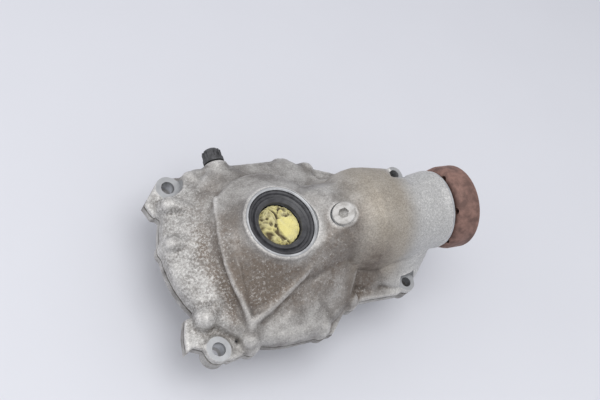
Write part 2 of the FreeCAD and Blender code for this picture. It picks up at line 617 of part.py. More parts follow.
def shaft_seal(name, outside, lip, **where):
    """A lip seal whose outer face is at height 0 and whose body lies below it."""
    case = turned(name + "_case", [
        (outside + " - 1.5", "0"), (outside, "0"), (outside, "-seal_width"),
        (lip + " + 5", "-seal_width"), (lip + " + 5", "-seal_width + seal_case_wall"),
        (outside + " - seal_case_wall", "-seal_width + seal_case_wall"),
        (outside + " - seal_case_wall", "-1.5"), (outside + " - 1.5", "-1.5"),
    ], **where)
    rubber = turned(name + "_lip", [
        (outside + " - seal_case_wall", "-1.7"), (outside + " - 1.6", "-1.6"),
        (outside + " - 2.6", "-0.7"),
        (outside + " - 4.2", "-0.9"), (outside + " - 5.2", "-2.6"), (lip + " + 5.6", "-3.4"),
        (lip + " + 4.6", "-1.7"), (lip + " + 3.4", "-1.7"), (lip + " + 0.4", "-3.4"),
        (lip, "-4.2"), (lip + " + 2.2", "-6"), (lip + " + 0.2", "-8.2"),
        (lip + " + 2.6", "-seal_width + seal_case_wall"),
        (outside + " - seal_case_wall", "-seal_width + seal_case_wall"),
    ], **where)
    node(case, name + "_case")
    node(rubber, name + "_lip")


shaft_seal("upper_seal", "seal_radius", "lip_radius", z="seal_level")
shaft_seal("lower_seal", "seal_radius", "lip_radius", z="lower_seal_depth", turn=half_turn)
shaft_seal("pinion_seal", "pinion_seal_radius", "(hub_radius + 0.3)",
           x="neck_end - pinion_seal_depth", z="pinion_level", turn=ALONG_X)

# A crumpled rag stops the open bore while the unit is off the car. It rests on the
# journal's end and its stem goes down the bore.

rag_foot = "diff_level + %s + journal_length + 0.3" % journal_foot
node(turned("bore_rag", [
    ("0", "-rag_stem"), ("axle_bore_radius - rag_clearance - 1", "-rag_stem"),
    ("axle_bore_radius - rag_clearance", "-rag_stem + 1"),
    ("axle_bore_radius - rag_clearance", "0"), ("rag_radius - 1", "0"), ("rag_radius", "2"),
    ("rag_radius - 0.6", "rag_height - 2.5"), ("rag_radius - 4", "rag_height - 0.6"),
    ("0", "rag_height"),
], z=rag_foot), "bore_rag")


# Joint flange outline, the same for the housing and the cover: the drum with its
# flattened side, the skirt that reaches to the two front lugs, and the screw pads.

LUGS = [("left_top", "-76", "69", "big"), ("left_bottom", "-71", "-90", "big"),
        ("right_top", "154.5", "43.8", "small"), ("right_bottom", "140", "-62", "small")]
SCREWS = [(-53, 73, 83, "screw"), (-84, 48, 84, "screw"), (-91, 9, 84, "screw"),
          (-79, -63, 83, "screw"), (-40, -91, 80, "screw"), (32, -90, 81, "screw"),
          (72, -69, 76, "short_screw"), (104, -56, 74, "short_screw"),
          (50, 79, 78, "screw"), (104, 56, 74, "short_screw")]
CORNERS = {
    "left_top": [("-56", "60"), ("-62", "80"), ("-76", "80"), ("-90", "70"), ("-101", "57"),
                 ("-96", "44"), ("-80", "40")],
    "left_bottom": [("-60", "-75"), ("-84", "-56"), ("-92", "-57"), ("-97", "-71"),
                    ("-99", "-87"), ("-92", "-83"), ("-84", "-87"), ("-62", "-101"),
                    ("-44", "-98")],
}
SKIRT = [("0", "-drum_radius"), ("45", "-97"), ("60", "-82"), ("76", "-71"), ("130", "-71.5"),
         ("150", "-61"), ("172", "-42"), ("174", "-30"), ("174", "38"), ("172", "50"),
         ("163", "58"), ("110", "64"), ("60", "flat_side - 4"), ("0", "flat_side")]


def joint_flange(name, level, thickness):
    """The pieces of one flange plate, from a level upwards."""
    disc = rod(name + "_disc", "drum_radius", thickness, z=level)
    plan = block(name + "_plan", "3 * drum_radius", "flat_side + 2 * drum_radius", thickness,
                 x="-1.5 * drum_radius", y="-2 * drum_radius", z=level)
    pieces = [shared(name + "_drum", [disc, plan]),
              slab(name + "_skirt", SKIRT, thickness, z=level)]
    for label, corner in CORNERS.items():
        pieces.append(slab("%s_corner_%s" % (name, label), corner, thickness, z=level))
    for k, (across, up, top, kind) in enumerate(SCREWS):
        pieces.append(rod("%s_pad_%d" % (name, k), "screw_pad_radius", thickness,
                          x=str(across), y=str(up), z=level))
    return pieces


def through_holes(name, low, high):
    """Lug holes and their dowel counterbores, and the holes for the cover screws."""
    tools = []
    for label, across, up, kind in LUGS:
        tools.append(rod("%s_%s_hole" % (name, label), kind + "_hole_radius",
                         "%s - %s + 2" % (high, low), x=across, y=up, z=low + " - 1"))
        if kind == "big":
            tools.append(rod("%s_%s_dowel" % (name, label), "big_hole_radius + sleeve_wall",
                             "2 * sleeve_half", x=across, y=up,
                             z="joint_level + sealant_gap / 2 - sleeve_half"))
    return tools


# Main housing, cast aluminium: the drum over the ring gear, the tapered tube round the
# pinion, the cone up to the output seal with its two ribs, and domed screw bosses.

housing_floor = "(joint_level + sealant_gap)"
drum = turned("drum", [
    ("0", housing_floor), ("drum_radius", housing_floor), ("drum_radius", "drum_shoulder"),
    ("shoulder_radius + 5", "shoulder_level - 2"), ("shoulder_radius", "shoulder_level"),
    ("roof_radius", "roof_level"), ("0", "roof_level"),
])
drum_side = slab("drum_side", [
    ("-" + housing_floor, "-1.1 * drum_radius"), ("-" + housing_floor, "flat_side"),
    ("-drum_shoulder", "side_at_shoulder"), ("-roof_level", "side_at_roof"),
    ("-roof_level", "-1.1 * drum_radius"),
], "3 * drum_radius", x="-1.5 * drum_radius", turn=ALONG_X)
seal_boss = turned("seal_boss", [
    ("0", housing_floor), ("cone_foot_radius", housing_floor),
    ("cone_foot_radius", "cone_foot_level"), ("boss_top_radius + 2", "seal_level - 5"),
    ("boss_top_radius", "seal_level - 2.5"), ("boss_top_radius", "seal_level"),
    ("0", "seal_level"),
])
cone = turned("cone", [
    ("0", housing_floor), ("cone_edge_radius", housing_floor),
    ("cone_edge_radius", "cone_edge_level"),
    ("0.5 * (cone_edge_radius + cone_foot_radius)",
     "0.5 * (cone_edge_level + cone_foot_level) - 2"),
    ("cone_foot_radius", "cone_foot_level"), ("boss_top_radius + 2", "seal_level - 5"),
    ("0", "seal_level - 5"),
])
rib_cone = turned("rib_cone", [
    ("0", housing_floor), ("cone_edge_radius", housing_floor),
    ("cone_edge_radius", "cone_edge_level + rib_height"),
    ("0.5 * (cone_edge_radius + cone_foot_radius)",
     "0.5 * (cone_edge_level + cone_foot_level) - 2 + rib_height"),
    ("cone_foot_radius", "cone_foot_level + rib_height"),
    ("boss_top_radius + 2", "seal_level - 5"), ("0", "seal_level - 5"),
])
wedge_plan = joined("wedge_plan", [
    slab("wedge_foot", [
        ("3 - cone_foot_radius", "30"), ("3 - cone_foot_radius", "-40"), ("-45", "-86"),
        ("-33", "-87"), ("62", "-20"), ("62", "30"),
    ], "seal_level"),
    rod("wedge_crown", "cone_foot_radius + 5", "seal_level"),
])
left_rib_plan = slab("left_rib_plan", [
    ("3 - cone_foot_radius", "30"), ("3 - cone_foot_radius", "-40"), ("-45", "-86"),
    ("rib_width - 45", "-86"), ("3 - cone_foot_radius + rib_width", "-40"),
    ("3 - cone_foot_radius + rib_width", "30"),
], "seal_level")
# The right rib is a web that climbs from the wedge's tip to the tube's shoulder; the
# saddle fills the corner between that web, the seal boss and the tube.
right_rib = shared("right_rib", [
    slab("right_rib_plan", [("-41", "-84"), ("-37", "-89"), ("63", "-19"), ("60", "-14")],
         "2 * seal_level"),
    slab("right_rib_side", [("-" + housing_floor, "-45"), ("-90", "-45"), ("-92", "-31"),
                            ("-103", "8"), ("-115", "42"), ("-127", "64"),
                            ("-" + housing_floor, "64")],
         "2 * drum_radius", y="drum_radius", turn=ALONG_XZ),
])
saddle = shared("saddle", [
    slab("saddle_plan", [("10", "-51"), ("61", "-17"), ("66", "10"), ("62", "46"),
                         ("10", "52")], "2 * seal_level"),
    slab("saddle_side", [("-" + housing_floor, "8"), ("-105", "8"), ("-117", "38"),
                         ("-130", "66"), ("-" + housing_floor, "66")],
         "2 * drum_radius", y="drum_radius", turn=ALONG_XZ),
    slab("saddle_roof", [("-" + housing_floor, "-60"), ("-112", "-55"), ("-124", "-22"),
                         ("-134", "-8"), ("-132", "14"), ("-120", "34"), ("-100", "53"),
                         ("-" + housing_floor, "53")], "100", turn=ALONG_X),
])
tube = turned("pinion_tube", [
    ("0", "36"), ("18", "36"), ("26", "48"), ("33.5", "59"), ("42", "69"),
    ("42 + step_height", "70"), ("48", "80"), ("50.5", "92"), ("50", "102"), ("45", "133"),
    ("41", "137"), ("neck_waist + 0.8", "142"), ("neck_waist", "147"),
    ("neck_waist", "neck_end - 13"),
    ("neck_radius", "neck_end - 5"), ("neck_radius", "neck_end - 0.8"),
    ("neck_radius - 0.8", "neck_end"), ("0", "neck_end"),
], z="pinion_level", turn=ALONG_X)
belly_left = block("belly_left", "belly_start", "3 * drum_radius", housing_floor,
                   x="0", y="-1.5 * drum_radius")
belly_right = block("belly_right", "2 * drum_radius", "3 * drum_radius", "belly_level",
                    x="belly_start - 1", y="-1.5 * drum_radius")
tube_trimmed = less("tube_trimmed", tube, [belly_left, belly_right])
lower_flank = shared("lower_flank", [
    slab("lower_flank_plan", [("112", "-28"), ("114", "-58"), ("131", "-56"), ("149", "-48"),
                              ("168", "-34"), ("168", "-28")], "seal_level"),
    slab("lower_flank_roof", [("-(pinion_level + 12)", "-28"), ("-(pinion_level + 4)", "-40"),
                              ("-(pinion_level - 20)", "-53"), ("-lug_top_level + 2", "-66"),
                              ("-" + housing_floor, "-66"), ("-" + housing_floor, "-28")],
         "100", x="90", turn=ALONG_X),
])
upper_flank = shared("upper_flank", [
    slab("upper_flank_plan", [("60", "28"), ("60", "78"), ("110", "60"), ("144", "50"),
                              ("150", "42"), ("150", "28")], "seal_level"),
    slab("upper_flank_roof", [("-(pinion_level + 2)", "28"), ("-(pinion_level - 4)", "44"),
                              ("-(pinion_level - 14)", "52"), ("-lug_top_level + 2", "60"),
                              ("-lug_top_level + 2", "80"), ("-" + housing_floor, "80"),
                              ("-" + housing_floor, "28")],
         "120", x="58", turn=ALONG_X),
])
doc.recompute()


def domed_boss(name, radius, low, top, **where):
    """A cast boss with a little draft and a round top, standing on a level."""
    stem = doc.addObject("Part::Cone", name + "_stem")
    stem.setExpression("Radius1", linked(radius) + " * 1.08")
    stem.setExpression("Radius2", linked(radius))
    stem.setExpression("Height", linked("%s - %s - %s * 0.7" % (top, low, radius)))
    place(stem, z=low, **where)
    crown = doc.addObject("Part::Sphere", name + "_crown")
    crown.setExpression("Radius", linked(radius))
    place(crown, z="%s - %s" % (top, radius), **where)
    return [stem, crown]


main_pieces = [shared("drum_flattened", [drum, drum_side]), seal_boss,
               shared("wedge", [cone, wedge_plan]), shared("left_rib", [rib_cone, left_rib_plan]),
               right_rib, saddle, tube_trimmed, lower_flank,
               upper_flank]
main_pieces += joint_flange("main", housing_floor, "skirt")
bosses = []
for k, (across, up, top, kind) in enumerate(SCREWS):
    bosses += domed_boss("screw_boss_%d" % k, "screw_boss_radius", "joint_level + 1",
                         str(top), x=str(across), y=str(up))
bosses += domed_boss("casting_boss", "screw_boss_radius + 1.5", "joint_level + 1", "78",
                     x="70", y="70")
under_bosses = block("under_bosses", "4 * drum_radius", "4 * drum_radius", housing_floor + " + 1",
                     x="-2 * drum_radius", y="-2 * drum_radius")
main_pieces.append(less("screw_bosses", joined("boss_group", bosses), [under_bosses]))
for label, across, up, kind in LUGS:
    top = "tall_lug_top" if label == "right_top" else "lug_top_level"
    main_pieces.append(rod("main_lug_" + label, kind + "_lug_radius",
                           "%s - %s" % (top, housing_floor), x=across, y=up,
                           z=housing_floor))
main_pieces.append(rod("breather_boss", "breather_boss_radius", "22", x="breather_x",
                       y="breather_face - 22", z="breather_level", turn=ALONG_Y))
main_pieces.append(block("breather_foot", "2 * breather_boss_radius", "22",
                         "breather_level - joint_level - 1",
                         x="breather_x - breather_boss_radius", y="breather_face - 22",
                         z="joint_level + 1"))
plug_turn = FreeCAD.Rotation(Y_AXIS, -size("plug_tilt"))
plug_at = {"x": "plug_x", "y": "plug_y", "z": "plug_level", "turn": plug_turn}
main_pieces.append(turned("plug_pad", [
    ("0", "-8"), ("plug_pad_radius + 3", "-8"), ("plug_pad_radius", "plug_pad_rise - 1"),
    ("plug_pad_radius - 1", "plug_pad_rise"), ("0", "plug_pad_rise"),
], **plug_at))

rear_cup = "(head_shoulder + rear_bearing_width + pinion_shim)"
front_cup = "(front_bearing_at + front_bearing_width)"
main_tools = [
    turned("drum_cavity", [
        ("0", housing_floor + " - 1"), ("cavity_radius", housing_floor + " - 1"),
        ("cavity_radius", "cavity_shoulder"), ("cavity_radius - 4", "shoulder_level - 5"),
        ("cavity_radius - 12", "shoulder_level + 1"), ("roof_radius", "cavity_top"),
        ("bearing_radius", "cavity_top"),
        ("bearing_radius", "diff_level + side_back + washer_wall + 0.1 + carrier_wall"
                           " + bearing_width"),
        ("seal_shoulder_radius", "diff_level + side_back + washer_wall + 0.1 + carrier_wall"
                                 " + bearing_width"),
        ("seal_shoulder_radius", "seal_level - seal_width"),
        ("seal_radius", "seal_level - seal_width"), ("seal_radius", "seal_level + 1"),
        ("0", "seal_level + 1"),
    ]),
    turned("pinion_cavity", [
        ("0", "45"), ("14", "45"), ("22", "52"), ("26", "59"),
        ("rear_bearing_radius", "70"), ("rear_bearing_radius", rear_cup),
        ("rear_bearing_radius - 4.5", rear_cup),
        ("rear_bearing_radius - 4.5", "front_bearing_at - 8"),
        ("front_bearing_radius - 4.5", "front_bearing_at"),
        ("front_bearing_radius", "front_bearing_at"),
        ("front_bearing_radius", "neck_end - pinion_seal_depth - seal_width - 4"),
        ("pinion_seal_radius - 1", "neck_end - pinion_seal_depth - seal_width - 4"),
        ("pinion_seal_radius - 1", "neck_end - pinion_seal_depth - seal_width"),
        ("pinion_seal_radius", "neck_end - pinion_seal_depth - seal_width"),
        ("pinion_seal_radius", "neck_end + 1"), ("0", "neck_end + 1"),
    ], z="pinion_level", turn=ALONG_X),
    rod("breather_hole", "breather_tube_radius", "10", x="breather_x",
        y="breather_face - 9", z="breather_level", turn=ALONG_Y),
    rod("vent_hole", "breather_bore_radius", "24", x="breather_x",
        y="breather_face - 30", z="breather_level", turn=ALONG_Y),
    turned("plug_hole", [("0", "-30"), ("plug_radius", "-30"),
                         ("plug_radius", "plug_pad_rise + 1"), ("0", "plug_pad_rise + 1")],
           **plug_at),
]
main_tools += through_holes("main", housing_floor, "tall_lug_top")
for label, across, up, kind in LUGS:
    top = "tall_lug_top" if label == "right_top" else "lug_top_level"
    main_tools.append(rod("spot_face_" + label, kind + "_lug_radius", "30", x=across, y=up,
                          z=top))
screw_seat = "(joint_level - cover_flange)"
for k, (across, up, top, kind) in enumerate(SCREWS):
    main_tools.append(rod("main_screw_hole_%d" % k, "screw_hole_radius",
                          kind + "_length + 2 - cover_flange", x=str(across), y=str(up),
                          z=housing_floor + " - 1"))
node(less("main_housing", joined("main_casting", main_pieces), main_tools), "main_housing")

# Side cover: a dished aluminium casting that closes the drum. It carries the lower
# bearing and seal, the lugs' lower halves and the spigot that enters the sump.

neck_outer = "(spigot_radius + 4)"
cover_shell = turned("cover_shell", [
    ("0", "0"), ("spigot_radius - spigot_chamfer", "0"), ("spigot_radius", "spigot_chamfer"),
    ("spigot_radius", "spigot_length"), (neck_outer, "spigot_length"),
    (neck_outer + " + 1.5", "cover_floor_level - cover_wall - 4"),
    ("cover_floor_radius + 5", "cover_floor_level - cover_wall - 1"),
    ("cavity_radius + cover_wall - tub_corner - 3", "tub_level - tub_corner - cover_wall + 1"),
    ("cavity_radius + cover_wall - 2", "tub_level - 5"),
    ("cavity_radius + cover_wall", "tub_level"), ("cavity_radius + cover_wall", "joint_level"),
    ("0", "joint_level"),
])
rib_envelope = turned("cover_rib_envelope", [
    (neck_outer + " - 2", "spigot_length + 3"), (neck_outer + " + 2", "spigot_length + 3"),
    ("cavity_radius + cover_wall - 5", "tub_level - tub_corner - 4"),
    ("cavity_radius + cover_wall - 1", "joint_level - 2"), (neck_outer + " - 2", "joint_level - 2"),
])
rib_bars = []
for k in range(4):
    turn = FreeCAD.Rotation(Z_AXIS, 22.5 + 45 * k)
    bar = block("cover_rib_bar_%d" % k, "2 * drum_radius", "cover_rib", "joint_level - 20",
                z="18")
    middle = turn.multVec(FreeCAD.Vector(-size("drum_radius"), -size("cover_rib") / 2, 0))
    bar.Placement = FreeCAD.Placement(middle + FreeCAD.Vector(0, 0, 18), turn)
    rib_bars.append(bar)
cover_ribs = shared("cover_ribs", [joined("cover_rib_cross", rib_bars), rib_envelope])
cover_plates = joint_flange("cover", "joint_level - cover_flange", "cover_flange")
belly_gap = block("belly_gap", "2 * drum_radius", "2 * 47", "cover_flange + 2",
                  x="belly_start - sealant_gap", y="-47", z="joint_level - cover_flange - 1")
cover_pieces = [cover_shell, cover_ribs, less("cover_plate", joined("cover_plates", cover_plates),
                                              [belly_gap])]
for label, across, up, kind in LUGS:
    cover_pieces.append(rod("cover_lug_" + label, kind + "_lug_radius",
                            "joint_level - lug_level", x=across, y=up, z="lug_level"))
cover_tools = [
    turned("cover_cavity", [
        ("0", "joint_level + 1"), ("cavity_radius", "joint_level + 1"),
        ("cavity_radius", "tub_level"), ("cavity_radius - tub_corner", "tub_level - tub_corner"),
        ("cover_floor_radius", "cover_floor_level"), ("bearing_radius", "cover_floor_level"),
        ("bearing_radius", "diff_level - side_back - washer_wall - 0.1 - carrier_wall"
                           " - bearing_width - carrier_shim"),
        ("seal_shoulder_radius - 1", "diff_level - side_back - washer_wall - 0.1"
                                     " - carrier_wall - bearing_width - carrier_shim"),
        ("seal_shoulder_radius - 1", "lower_seal_depth + seal_width"),
        ("seal_radius", "lower_seal_depth + seal_width"), ("seal_radius", "-1"), ("0", "-1"),
    ]),
    turned("o_ring_groove", [
        ("spigot_radius - 2 * o_ring_section - 0.1", "o_ring_level - o_ring_section - 0.1"),
        ("spigot_radius + 1", "o_ring_level - o_ring_section - 0.1"),
        ("spigot_radius + 1", "o_ring_level + o_ring_section + 0.1"),
        ("spigot_radius - 2 * o_ring_section - 0.1", "o_ring_level + o_ring_section + 0.1"),
    ]),
]
cover_tools += through_holes("cover", "lug_level", "joint_level")
for k, (across, up, top, kind) in enumerate(SCREWS):
    cover_tools.append(rod("cover_screw_hole_%d" % k, "screw_hole_radius + 0.3",
                           "cover_flange + 2", x=str(across), y=str(up),
                           z="joint_level - cover_flange - 1"))
    cover_tools.append(rod("cover_screw_seat_%d" % k, "screw_head_radius + 1.2", "30",
                           x=str(across), y=str(up), z=screw_seat + " - 30"))
node(less("side_cover", joined("cover_casting", cover_pieces), cover_tools), "side_cover")

# What goes between and into the two castings.

sealant = turned("sealant_ring", [
    ("cavity_radius + 1", "joint_level"), ("drum_radius - 4", "joint_level"),
    ("drum_radius - 4", housing_floor), ("cavity_radius + 1", housing_floor),
])
sealant_side = block("sealant_side", "3 * drum_radius", "flat_side + 2 * drum_radius - 0.5",
                     "seal_level", x="-1.5 * drum_radius", y="-2 * drum_radius")
sealant_holes = [rod("sealant_hole_%d" % k, "screw_hole_radius + 1", "seal_level",
                     x=str(across), y=str(up)) for k, (across, up, top, kind) in enumerate(SCREWS)]
node(less("joint_sealant", shared("sealant_trimmed", [sealant, sealant_side]), sealant_holes),
     "joint_sealant")

cover_screws = [screw("cover_screw_%d" % k, "screw_radius", "screw_head_radius", "screw_head",
                      kind + "_length", x=str(across), y=str(up), z=screw_seat)
                for k, (across, up, top, kind) in enumerate(SCREWS)]
node(group("cover_screws", cover_screws), "cover_screws")

dowels = [turned("dowel_" + label, [
    ("big_hole_radius", "-sleeve_half"), ("big_hole_radius + sleeve_wall - 0.02", "-sleeve_half"),
    ("big_hole_radius + sleeve_wall - 0.02", "sleeve_half"), ("big_hole_radius", "sleeve_half"),
], x=across, y=up, z="joint_level + sealant_gap / 2")
    for label, across, up, kind in LUGS if kind == "big"]
node(group("dowel_sleeves", dowels), "dowel_sleeves")

o_ring = doc.addObject("Part::Torus", "spigot_o_ring")
o_ring.setExpression("Radius1", linked("spigot_radius - o_ring_section - 0.05"))
o_ring.setExpression("Radius2", linked("o_ring_section"))
node(place(o_ring, z="o_ring_level"), "spigot_o_ring")

# Breather: a steel pipe pressed into its boss, and a ribbed plastic cap over it.

breather_at = {"x": "breather_x", "y": "breather_face", "z": "breather_level",
               "turn": ALONG_Y}
node(turned("breather_pipe", [
    ("breather_bore_radius", "-9"), ("breather_tube_radius - 0.02", "-9"),
    ("breather_tube_radius - 0.02", "0"), ("breather_tube_radius + 1.6", "0"),
    ("breather_tube_radius + 1.6", "1.2"), ("breather_tube_radius", "1.2"),
    ("breather_tube_radius", "breather_cap_height - 4"),
    ("breather_bore_radius", "breather_cap_height - 4"),
], **breather_at), "breather_pipe")
cap_turned = turned("breather_cap_turned", [
    ("breather_tube_radius + 0.1", "1.4"), ("breather_cap_radius", "1.4"),
    ("breather_cap_radius", "5.5"), ("breather_cap_radius - 1.6", "6.5"),
    ("breather_cap_radius - 1.6", "breather_cap_height - 2.5"),
    ("breather_cap_radius - 3.4", "breather_cap_height"), ("0", "breather_cap_height"),
    ("0", "breather_cap_height - 3.6"), ("breather_tube_radius + 0.1", "breather_cap_height - 3.6"),
], **breather_at)
cap_ribs = []
for k in range(6):
    rib = block("breather_cap_rib_%d" % k, "2 * (breather_cap_radius - 0.8)",
                "2 * breather_rib", "breather_cap_height - 8")
    turn = ALONG_Y * FreeCAD.Rotation(Z_AXIS, 30 * k)
    corner = turn.multVec(FreeCAD.Vector(0.8 - size("breather_cap_radius"),
                                         -size("breather_rib"), 6.0))
    hub = FreeCAD.Vector(size("breather_x"), size("breather_face"), size("breather_level"))
    rib.Placement = FreeCAD.Placement(hub + corner, turn)
    cap_ribs.append(rib)
cap_bore = turned("breather_cap_bore", [
    ("0", "1"), ("breather_tube_radius + 0.1", "1"),
    ("breather_tube_radius + 0.1", "breather_cap_height - 3.6"), ("0", "breather_cap_height - 3.6"),
], **breather_at)
node(less("breather_cap", joined("breather_cap_solid", [cap_turned] + cap_ribs), [cap_bore]),
     "breather_cap")

# Filler plug with a hexagon socket, on a soft washer.

plug_blank = turned("plug_blank", [
    ("0", "plug_pad_rise + plug_washer - plug_length"),
    ("plug_radius - 1.2", "plug_pad_rise + plug_washer - plug_length"),
    ("plug_radius - 0.1", "plug_pad_rise + plug_washer - plug_length + 1.2"),
    ("plug_radius - 0.1", "plug_pad_rise + plug_washer"),
    ("plug_head_radius", "plug_pad_rise + plug_washer"),
    ("plug_head_radius", "plug_pad_rise + plug_washer + plug_head - 0.6"),
    ("plug_head_radius - 0.6", "plug_pad_rise + plug_washer + plug_head"),
    ("0", "plug_pad_rise + plug_washer + plug_head"),
], **plug_at)
plug_socket = doc.addObject("Part::Prism", "plug_socket")
plug_socket.Polygon = 6
plug_socket.setExpression("Circumradius", linked("plug_key_radius"))
plug_socket.Height = 8
socket_foot = plug_turn.multVec(FreeCAD.Vector(
    0, 0, size("plug_pad_rise + plug_washer + plug_head") - 6))
plug_centre = FreeCAD.Vector(size("plug_x"), size("plug_y"), size("plug_level"))
plug_socket.Placement = FreeCAD.Placement(plug_centre + socket_foot, plug_turn)
node(less("filler_plug", plug_blank, [plug_socket]), "filler_plug")
node(turned("filler_plug_washer", [
    ("plug_radius + 0.1", "plug_pad_rise"), ("plug_head_radius + 0.4", "plug_pad_rise"),
    ("plug_head_radius + 0.4", "plug_pad_rise + plug_washer"),
    ("plug_radius + 0.1", "plug_pad_rise + plug_washer"),
], **plug_at), "filler_plug_washer")

doc.recompute()

faults = [thing.Name for thing in doc.Objects
          if "Invalid" in thing.State or "Error" in thing.State]
for thing in NODES:
    if thing.Shape.isNull() or not thing.Shape.isValid() or not thing.Shape.Solids:
        faults.append(thing.Label)
if faults:
    raise RuntimeError("these did not build: " + ", ".join(faults))

os.makedirs("parts", exist_ok=True)
for thing in NODES:
    thing.Shape.exportStep("parts/%s.step" % thing.Label)
    print("%-30s %2d solids %12.1f mm3" % (thing.Label, len(thing.Shape.Solids),
                                           thing.Shape.Volume))
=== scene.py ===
import math

import bmesh
import bpy
import numpy as np
from mathutils import Matrix, Vector, noise


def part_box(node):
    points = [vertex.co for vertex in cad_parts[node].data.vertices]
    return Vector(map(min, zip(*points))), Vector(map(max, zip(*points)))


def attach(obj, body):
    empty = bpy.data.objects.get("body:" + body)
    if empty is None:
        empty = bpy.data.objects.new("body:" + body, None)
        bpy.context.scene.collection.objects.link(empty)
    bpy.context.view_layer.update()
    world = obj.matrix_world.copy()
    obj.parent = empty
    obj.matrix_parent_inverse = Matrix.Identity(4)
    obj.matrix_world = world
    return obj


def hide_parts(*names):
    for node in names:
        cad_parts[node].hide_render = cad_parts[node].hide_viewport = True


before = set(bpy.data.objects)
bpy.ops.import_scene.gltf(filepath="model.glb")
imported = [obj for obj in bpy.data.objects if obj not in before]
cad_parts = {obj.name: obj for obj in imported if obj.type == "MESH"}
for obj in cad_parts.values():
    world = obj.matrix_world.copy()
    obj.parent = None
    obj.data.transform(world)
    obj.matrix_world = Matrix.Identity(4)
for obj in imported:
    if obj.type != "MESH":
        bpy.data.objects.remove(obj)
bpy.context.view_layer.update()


# Studio: a pale sheet of paper, a large soft lamp to the upper right and a weaker one to the
# left, and the camera where the photograph was taken, looking down on the output seal.

def put(tree, kind, inputs=None, **settings):
    """Adds a node with its settings; an input is a value or another node's output."""
    node = tree.nodes.new(kind)
    for name, value in settings.items():
        setattr(node, name, value)
    for key, value in (inputs or {}).items():
        if isinstance(value, bpy.types.NodeSocket):
            tree.links.new(value, node.inputs[key])
        else:
            node.inputs[key].default_value = value
    return node


def linear(code):
    """An sRGB hex colour as linear red, green, blue and alpha."""
    parts = [int(code[k:k + 2], 16) / 255 for k in (0, 2, 4)]
    return [p / 12.92 if p <= 0.04045 else ((p + 0.055) / 1.055) ** 2.4 for p in parts] + [1]


def finish_named(name):
    """A new material with an empty node tree."""
    material = bpy.data.materials.new(name)
    material.use_nodes = True
    material.node_tree.nodes.clear()
    return material, material.node_tree


# where the camera stood, in metres, and its three axes, as fitted to the photograph
EYE = Vector((-0.3675, -0.2622, 0.7921))
RIGHT = Vector((0.8723, -0.3009, 0.3856))
DOWN = Vector((-0.1126, -0.8907, -0.4403))
AHEAD = Vector((0.4759, 0.3407, -0.8108))
camera = bpy.data.objects.new("camera", bpy.data.cameras.new("camera"))
camera.data.lens = 54
camera.data.sensor_width = 36
camera.matrix_world = Matrix([[RIGHT[k], -DOWN[k], -AHEAD[k], EYE[k]] for k in range(3)]
                             + [[0, 0, 0, 1]])
bpy.context.scene.collection.objects.link(camera)
bpy.context.scene.camera = camera
bpy.context.scene.view_settings.view_transform = "Standard"

LAMP_DISTANCE = 1.5
middle = Vector((0.055, 0, 0.08))
# each lamp's way from the middle of the object, its width in metres and its power in watts
for name, way, width, power in (("key_lamp", RIGHT * 0.32 - DOWN * 0.4 - AHEAD * 0.85, 1.0, 10),
                                ("fill_lamp", -RIGHT * 0.8 - DOWN * 0.3 - AHEAD * 0.6, 1.4, 7)):
    lamp = bpy.data.objects.new(name, bpy.data.lights.new(name, "AREA"))
    lamp.data.size = width
    lamp.data.energy = power
    lamp.location = middle + way.normalized() * LAMP_DISTANCE
    lamp.rotation_euler = way.to_track_quat("Z", "Y").to_euler()
    bpy.context.scene.collection.objects.link(lamp)

world = bpy.data.worlds.new("studio")
world.use_nodes = True
world.node_tree.nodes.clear()
sky = put(world.node_tree, "ShaderNodeBackground", {"Color": linear("F1F2F6"), "Strength": 0.82})
put(world.node_tree, "ShaderNodeOutputWorld", {"Surface": sky.outputs[0]})
bpy.context.scene.world = world

# Matt paper: pale grey-blue, with a faint unevenness and painted shade that makes it darker away
# from the camera.
paper, tree = finish_named("matt_white_paper")
place = put(tree, "ShaderNodeTexCoord").outputs["Object"]
fibre = put(tree, "ShaderNodeTexNoise", {"Vector": place, "Scale": 9, "Detail": 2})
across = put(tree, "ShaderNodeSeparateXYZ", {"Vector": place})
# painted shade: the paper is painted darker away from the camera, where less light reaches it
painted_falloff = put(tree, "ShaderNodeMapRange", {"Value": across.outputs["Y"], "From Min": 0.5,
                                          "From Max": -0.45})
uneven = put(tree, "ShaderNodeMath", {0: fibre.outputs["Fac"], 1: 0.15,
                                      2: painted_falloff.outputs["Result"]}, operation="MULTIPLY_ADD")
tint = put(tree, "ShaderNodeMix", {"Factor": uneven.outputs[0], "A": linear("C9CAD0"),
                                   "B": linear("DBDCE1")}, data_type="RGBA",
           clamp_factor=True)
shader = put(tree, "ShaderNodeBsdfPrincipled", {"Base Color": tint.outputs["Result"],
                                                "Roughness": 0.9, "Specular IOR Level": 0.1})
put(tree, "ShaderNodeOutputMaterial", {"Surface": shader.outputs[0]})
HALF_SHEET = 40
sheet = bpy.data.meshes.new("paper")
sheet.from_pydata([(x * HALF_SHEET, y * HALF_SHEET, 0)
                   for x, y in ((-1, -1), (1, -1), (1, 1), (-1, 1))], [], [(0, 1, 2, 3)])
sheet.materials.append(paper)
floor = bpy.data.objects.new("paper", sheet)
bpy.context.scene.collection.objects.link(floor)


# Main housing: the drum over the ring gear, the tapered pinion tube, the cone up to the
# output seal with its two ribs, lugs and domed screw bosses. Cast aluminium, weathered to a
# speckled grey, with brown grime and painted shade in its hollows, and machined only where
# something fits.

VOXEL = 0.00125
MOULD_ROUNDS = 7
RELIEF_ROUNDS = 60
BALL_POINTS = 90
GOLDEN_TURN = 2.39996
PINION_AXIS = Matrix.Translation((0, 0, 0.101)) @ Matrix.Rotation(math.radians(90), 4, "Y")
BREATHER_AXIS = (Matrix.Translation((-0.029, 0, 0.085))
                 @ Matrix.Rotation(math.radians(-90), 4, "X"))
PLUG_SEAT = (Matrix.Translation((0.059, -0.006, 0.134))
             @ Matrix.Rotation(math.radians(-38), 4, "Y"))


